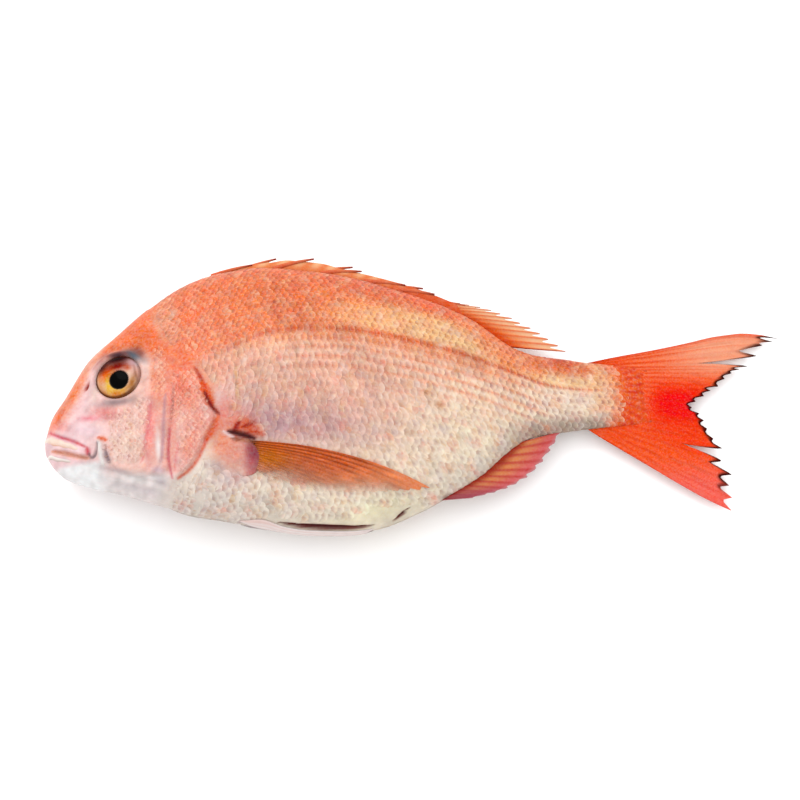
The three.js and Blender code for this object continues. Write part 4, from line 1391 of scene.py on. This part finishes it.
def breast_fin(side, name):
    count = BREAST_RAYS
    share = np.linspace(0, 1, count)
    top, bottom = np.array(BREAST_ROOT["top"]), np.array(BREAST_ROOT["bottom"])
    roots = top + (bottom - top) * share[:, None]
    lines = ray_lines(roots, along_line(BREAST_TIPS, count), 6.4 * (1 - share) ** 1.2)

    def end_at(ray):
        return 1 - 0.02 * (1 - on_ray(ray, 1))

    def place(flat, half):
        over = np.interp(flat[:, 0], [82, 88, 94], [0.1, 0.5, 0.2])
        lift = np.where(half > 0, over + 1.1 * half, -0.3)
        return on_skin(flat[:, 0], flat[:, 1], side, lift)

    def half_at(ray, t):
        proud = 0.34 * ray_wave(ray) * (1 - 0.5 * ray / count)
        return (0.1 + proud) * (1 - 0.5 * t) + 0.25 * fade(0, 0.25, t)

    def paint_at(ray, t, flat):
        s, h = flat[:, 0], flat[:, 1]
        low = ray / (count - 1)
        upper = fade(0.1, 0.45, low)
        joints = np.sin(s * 5.2 + 3 * np.sin(ray * 2)) * smooth(0.12, 0.4, low)
        base = coated(
            mix((190, 106, 64), (224, 146, 108), smooth(0.3, 0.95, t)),
            ((198, 106, 6), 0.97 * blob(s, h, 91, -17, 7, 5)),
            ((206, 96, 60), 0.6 * blob(s, h, 112, -22, 18, 5, -12)),
            ((214, 142, 122), 0.7 * smooth(0.45, 0.95, low)),
            ((150, 56, 26), 0.7 * in_web(ray, 3) * upper),
            ((232, 104, 56), 0.7 * ray_wave(ray) * fade(0.1, 0.5, low)),
            ((180, 84, 62), 0.3 * in_web(ray, 4) * smooth(0.3, 0.6, low)),
            ((248, 152, 106), 0.8 * smooth(0.6, 0.9, t) * fade(0.3, 0.6, low)),
            ((236, 170, 150), 0.22 * np.clip(joints, 0, 1)),
            ((120, 66, 40), 0.8 * fade(0.0, 0.09, t)),
        )
        return base * (1 + 0.06 * wander(ray * 5, t * 60, 7, 19))[:, None]

    def cover_at(ray, t, flat):
        low = ray / (count - 1)
        clear = smooth(0.3, 0.95, low) * smooth(0.2, 0.5, t)
        root = smooth(0.0, 0.05, t) * (1 - 0.55 * smooth(0.9, 1, low))
        edge = 1 - 0.8 * smooth(0.72, 1, t) * smooth(0.02, 0.3, low)
        return (1 - 0.78 * clear * (1 - 0.35 * ray_wave(ray))) * root * edge

    fin_sheet(name, lines, count, 70, end_at, place, half_at, paint_at, CLEAR_FIN, cover_at)


LOBE = {"s": 81, "h": -16.4, "reach_s": 6.6, "reach_h": 7.4, "lift": 1.9}
LOBE_DABS = [
    # The dark mauve dab at (85.4, -15) is painted shade on the lobe's rear side, by the fin's root.
    (85.4, -15, 5.6, 7, 0, (150, 72, 82), 0.95), (77.4, -12, 2, 2.6, 0, (226, 206, 212), 0.5),
    (77, -21, 3, 3, -10, (206, 194, 204), 0.5), (82, -9.8, 4, 1.2, -16, (160, 110, 74), 0.6),
]


def breast_lobe(side, name):
    """The fleshy lobe the fin swings on, a round grid drawn up into a dome."""
    ob, a, b = sheet_primitive(name, 30, 30)
    a, b = a * 2 - 1, b * 2 - 1
    x = a * np.sqrt(1 - b * b / 2)
    y = b * np.sqrt(1 - a * a / 2)
    out = np.clip(x * x + y * y, 0, 1)
    s = LOBE["s"] + LOBE["reach_s"] * x
    h = LOBE["h"] + LOBE["reach_h"] * y
    lift = LOBE["lift"] * (1 - out ** 2) ** 0.8 * smooth(-1.0, 0.5, x) - SKIN_SUNK - 0.12 * out ** 3
    lift = lift + 0.1 * wander(s, h, 4, 41) * smooth(-0.6, 0.2, x)
    put_points(ob, row(on_skin(s, h, side, lift)))
    base = mix((228, 144, 134), (244, 168, 146), smooth(0.2, 1, out) * (x < 0))
    base = dabbed(base, s, h, LOBE_DABS)
    base = mix(base, skin_colour(s, turn_at(s, h), side), fade(-0.6, 0.35, x))
    tint(ob, base * head_tone(s, h)[:, None])
    close_sheet(ob, 0)
    finish_piece(ob, SKIN)


# The belly fins lie folded along the keel

BELLY_FIN = {"from": 77, "to": 130}
belly_fin_top = profile([(77, 8), (86, 15), (95, 9.5), (105, 7.6), (125, 6), (130, 4)])
belly_fin_low = profile([(77, 6), (86, -4), (105, -8), (124, -6), (130, 2)])


def belly_fin(side, name):
    """The blade lies folded along the keel; degrees are counted up the flank from the keel."""
    ob, share, across = sheet_primitive(name, 90, 36)
    closed = across * 2
    over = closed <= 1
    a = np.where(over, closed, 2 - closed)
    s = BELLY_FIN["from"] + (BELLY_FIN["to"] - BELLY_FIN["from"]) * share
    low, high = belly_fin_low(s), belly_fin_top(s)
    if side < 0:
        low, high = 9, 9 + (high - low)
    turn = np.radians(-90 + low + a * (high - low))
    ridge = on_ray(3.5 * a, 2)
    ends = between(0, 0.08, 0.93, 1, share)
    lift = np.where(over, (0.1 + 0.45 * np.sin(math.pi * a) ** 0.5 + 0.14 * ridge) * ends, -0.45)
    put_points(ob, row(skin(s, turn, side, lift)))
    tint(ob, coated(
        mix((250, 240, 237), (246, 222, 217), ridge),
        ((240, 190, 178), 0.4 * fade(0.1, 0.4, share) * smooth(0.5, 0.9, a)),
        ((176, 168, 170), 0.8 * fade(0.08, 0.3, a)),
    ))
    close_sheet(ob)
    finish_piece(ob, FIN)


# Lips run round the snout from one corner of the mouth to the other

UPPER_LIP = [(17.6, -7.4), (14, -5.6), (9.5, -3.4), (5, -1.3), (2.2, 0.4)]
LOWER_LIP = [(18, -10.9), (13, -10.2), (8.5, -9), (4.6, -7.6), (2, -6)]


def lip(name, line, radius, sunk, paint, ahead=0.3):
    left = [on_skin(s, h, 1, -sunk) for s, h in line]
    right = [on_skin(s, h, -1, -sunk) for s, h in reversed(line)]
    front = np.array([sunk * 0.6 + ahead, line[-1][1] + 0.6, float(mid_height_at(0))])
    length, at = walk(smoothed(left + [front] + right))
    ob, share, around = sheet_primitive(name, 110, 18)
    gone = share * length
    centre = at(gone)
    run = at(gone + 0.4) - at(gone - 0.4)
    run /= np.linalg.norm(run, axis=1, keepdims=True)
    up = np.array([0, 1, 0]) - run * run[:, 1:2]
    up /= np.linalg.norm(up, axis=1, keepdims=True)
    out = np.cross(run, up)
    turn = around * 2 * math.pi
    ends = np.sin(math.pi * np.clip(share, 0.02, 0.98)) ** 0.35
    r = radius * ends * (1 + 0.05 * np.sin(share * 60) * np.sin(turn * 2))
    points = centre + (up * (np.cos(turn) * 1.05)[:, None] + out * np.sin(turn)[:, None]) * r[:, None]
    put_points(ob, row(points))
    tint(ob, paint(share, turn))
    close_sheet(ob)
    finish_piece(ob, LIP)


def paint_upper_lip(share, turn):
    return coated(
        (253, 222, 204),
        ((254, 234, 218), np.abs(np.sin(share * 40)) ** 2 * 0.5),
        ((248, 176, 160), 0.5 * smooth(0.4, 0.95, np.cos(turn))),
        ((255, 240, 228), 0.7 * bell((share - 0.5) / 0.12)),
        ((244, 158, 128), 0.7 * smooth(-0.3, -0.9, np.cos(turn))),
    )


def paint_lower_lip(share, turn):
    return coated(
        (252, 244, 236),
        ((246, 212, 188), 0.6 * smooth(0.3, 0.9, np.cos(turn))),
        # Painted shade on the lip's underside.
        ((196, 160, 150), 0.6 * smooth(-0.3, -0.8, np.cos(turn))),
    )


# The eyes: a flattened ball with a raised iris ring, a sunken pupil and a wet front

PUPIL = {"s": 1.2, "h": -2.6, "ring": 5.0}
# Dabs round the middle of the pupil: under the gold ring and over it.
IRIS_DABS = [
    (7.2, 3, 2, 5, 14, (240, 186, 176), 1), (-8.6, 1, 1.6, 5, 10, (232, 172, 120), 0.8),
    (0, -6.4, 5, 1.4, 0, (236, 160, 96), 0.8), (-5.4, 4.4, 3.2, 3.6, 30, (236, 84, 20), 0.95),
    (-5, 1.6, 1.6, 2, 0, (244, 140, 50), 0.7), (-0.4, 6.2, 4.2, 2, 4, (140, 22, 12), 0.95),
    (3.6, 5, 1.4, 1.6, 0, (200, 76, 40), 0.8), (-1, 10.6, 8.2, 3.3, 0, (40, 4, 10), 1),
    # The pale lilac dabs at (5.6, 7.6) and (7.2, 6.8) are a painted highlight.
    (-7.6, 8, 2.4, 3.4, -30, (66, 16, 16), 0.9), (5.6, 7.6, 2.2, 2.4, 40, (206, 160, 166), 0.9),
    (7.2, 6.8, 0.9, 1.8, 30, (240, 224, 234), 0.8),
]
RING_DABS = [
    (-4.2, -3.4, 2.4, 2.4, 0, (242, 188, 84), 0.95), (-1.6, -5.6, 2.6, 1.2, 0, (226, 128, 62), 0.8),
    (-6.6, -4.6, 1, 3.6, 34, (184, 96, 40), 0.6), (5.2, -2.2, 1.1, 3.8, -20, (176, 108, 52), 0.85),
    (6.8, 1.6, 0.5, 4, 8, (128, 84, 60), 0.5),
]


def iris_colour(px, py, out):
    """Amber round a black pupil, dark under the brow, with a golden ring that is brightest below."""
    from_pupil = np.hypot(px, py)
    low_left = np.cos(np.arctan2(py, px) + math.radians(132))
    gold = mix((196, 124, 44), (240, 196, 92), smooth(0.0, 0.9, low_left))
    golden = bell((from_pupil - PUPIL["ring"]) / 0.95) * (0.5 + 0.75 * low_left)
    lid = smooth(EYELID - 1.0, EYELID - 0.3, out) * (1 - 0.6 * smooth(2, 8, px))
    base = dabbed((238, 200, 178), px, py, IRIS_DABS)
    base = dabbed(mix(base, gold, np.clip(golden, 0, 1)), px, py, RING_DABS)
    return coated(
        base,
        ((2, 2, 12), fade(3.9, 4.25, from_pupil)),
        ((84, 44, 30), 0.75 * lid),
    )


def make_eye(side, name, node):
    deselect()
    bpy.ops.mesh.primitive_uv_sphere_add(segments=96, ring_count=64, radius=1)
    ob = bpy.context.object
    ob.name = name
    x, y, z = points_of(ob).T
    a, b = x * EYE["radius"], y * EYE["radius"]
    px, py = a - PUPIL["s"], b - PUPIL["h"]
    from_pupil = np.hypot(px, py)
    lift = 0.28 * bell((from_pupil - 5.2) / 1.1) - 0.25 * fade(3.6, 4.4, from_pupil)
    lift = np.where(z > 0, lift, 0)
    centre = on_skin(EYE["s"], EYE["h"], side, -EYE["sunk"])
    normal = on_skin(EYE["s"], EYE["h"], side, 2) - on_skin(EYE["s"], EYE["h"], side, 0)
    normal = Vector(normal).normalized()
    ahead = Vector((1, 0, 0))
    ahead = (ahead - normal * ahead.dot(normal)).normalized()
    up = normal.cross(ahead) * side
    local = np.stack([a, b, z * EYE["depth"] * 0.96 + lift], -1)
    put_points(ob, row(centre + local @ np.array((ahead, up, normal))))
    if side < 0:
        in_edit_mode(ob, lambda: bpy.ops.mesh.normals_make_consistent(inside=False))
    tint(ob, iris_colour(px, py, np.hypot(a, b)))
    finish_piece(ob, EYE_WET)
    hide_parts(node)


# Making the fish
make_body()
lay_scales("scales_left", 1, 3)
lay_scales("scales_right", -1, 4)
lay_head_scales("head_scales_left", 1, 5)
lay_head_scales("head_scales_right", -1, 6)
make_tail()
middle_fin("soft_back_fin", 12, back_at, -2.2, 149, 188, SOFT_DORSAL_TIPS, 0.12, paint_dorsal, notch=0.17)
middle_fin("anal_fin", 11, belly_at, 2.2, 155, 189, ANAL_TIPS, 0.12, paint_anal, notch=0.06)
make_spiny_web()
make_spines()
breast_fin(1, "breast_fin_left")
breast_fin(-1, "breast_fin_right")
breast_lobe(1, "breast_lobe_left")
breast_lobe(-1, "breast_lobe_right")
belly_fin(1, "belly_fin_left")
belly_fin(-1, "belly_fin_right")
lip("upper_lip", UPPER_LIP, 2.0, 1.25, paint_upper_lip)
lip("lower_lip", LOWER_LIP, 1.4, 0.9, paint_lower_lip, 1.4)
make_eye(1, "eyeball_left", "eye_left")
make_eye(-1, "eyeball_right", "eye_right")


# Floor, light and camera

def flat_material(name, shade, roughness):
    material = bpy.data.materials.new(name)
    material.use_nodes = True
    shader = material.node_tree.nodes["Principled BSDF"]
    shader.inputs["Base Color"].default_value = (*shade, 1)
    shader.inputs["Roughness"].default_value = roughness
    return material


def make_floor():
    deselect()
    bpy.ops.mesh.primitive_plane_add(size=6, location=(0, 0, -0.0002))
    floor = bpy.context.object
    floor.name = "floor"
    floor.data.materials.append(flat_material("white_table", (0.9, 0.9, 0.9), 0.9))


def area_light(name, place, size, power, target=(0, 0, 0.02)):
    light = bpy.data.lights.new(name, "AREA")
    light.shape = "DISK"
    light.size = size
    light.energy = power
    ob = bpy.data.objects.new(name, light)
    bpy.context.scene.collection.objects.link(ob)
    ob.location = place
    ob.rotation_euler = (Vector(target) - Vector(place)).to_track_quat("-Z", "Y").to_euler()


PHOTO_SIZE = 800
MM_PER_PIXEL = 0.405
SNOUT_PIXEL = (46, 447)
CAMERA_ELEVATION = math.radians(70)
CAMERA_TURN = math.radians(3.83)
CAMERA_FAR = 1.25
SENSOR = 36


def make_camera():
    right = Vector((math.cos(CAMERA_TURN), -math.sin(CAMERA_TURN), 0))
    ahead = Vector((math.sin(CAMERA_TURN), math.cos(CAMERA_TURN), 0))
    view = ahead * math.cos(CAMERA_ELEVATION) - Vector((0, 0, 1)) * math.sin(CAMERA_ELEVATION)
    up = right.cross(view)
    snout = Vector(row((0, 0, 17)))
    middle = PHOTO_SIZE / 2
    target = snout + right * (middle - SNOUT_PIXEL[0]) * MM_PER_PIXEL * MM
    target += up * (SNOUT_PIXEL[1] - middle) * MM_PER_PIXEL * MM
    lens = bpy.data.cameras.new("camera")
    lens.sensor_width = SENSOR
    lens.lens = SENSOR * CAMERA_FAR / (PHOTO_SIZE * MM_PER_PIXEL * MM)
    ob = bpy.data.objects.new("camera", lens)
    bpy.context.scene.collection.objects.link(ob)
    ob.matrix_world = Matrix.LocRotScale(
        target - view * CAMERA_FAR,
        Matrix((right, up, -view)).transposed().to_quaternion(),
        None,
    )
    bpy.context.scene.camera = ob


make_floor()
area_light("key", (-0.5, 0.95, 1.1), 0.9, 9)
world = bpy.data.worlds.new("studio")
world.use_nodes = True
world.node_tree.nodes["Background"].inputs["Color"].default_value = (1, 1, 1, 1)
world.node_tree.nodes["Background"].inputs["Strength"].default_value = 1.52
bpy.context.scene.world = world
bpy.context.scene.view_settings.view_transform = "Standard"
make_camera()
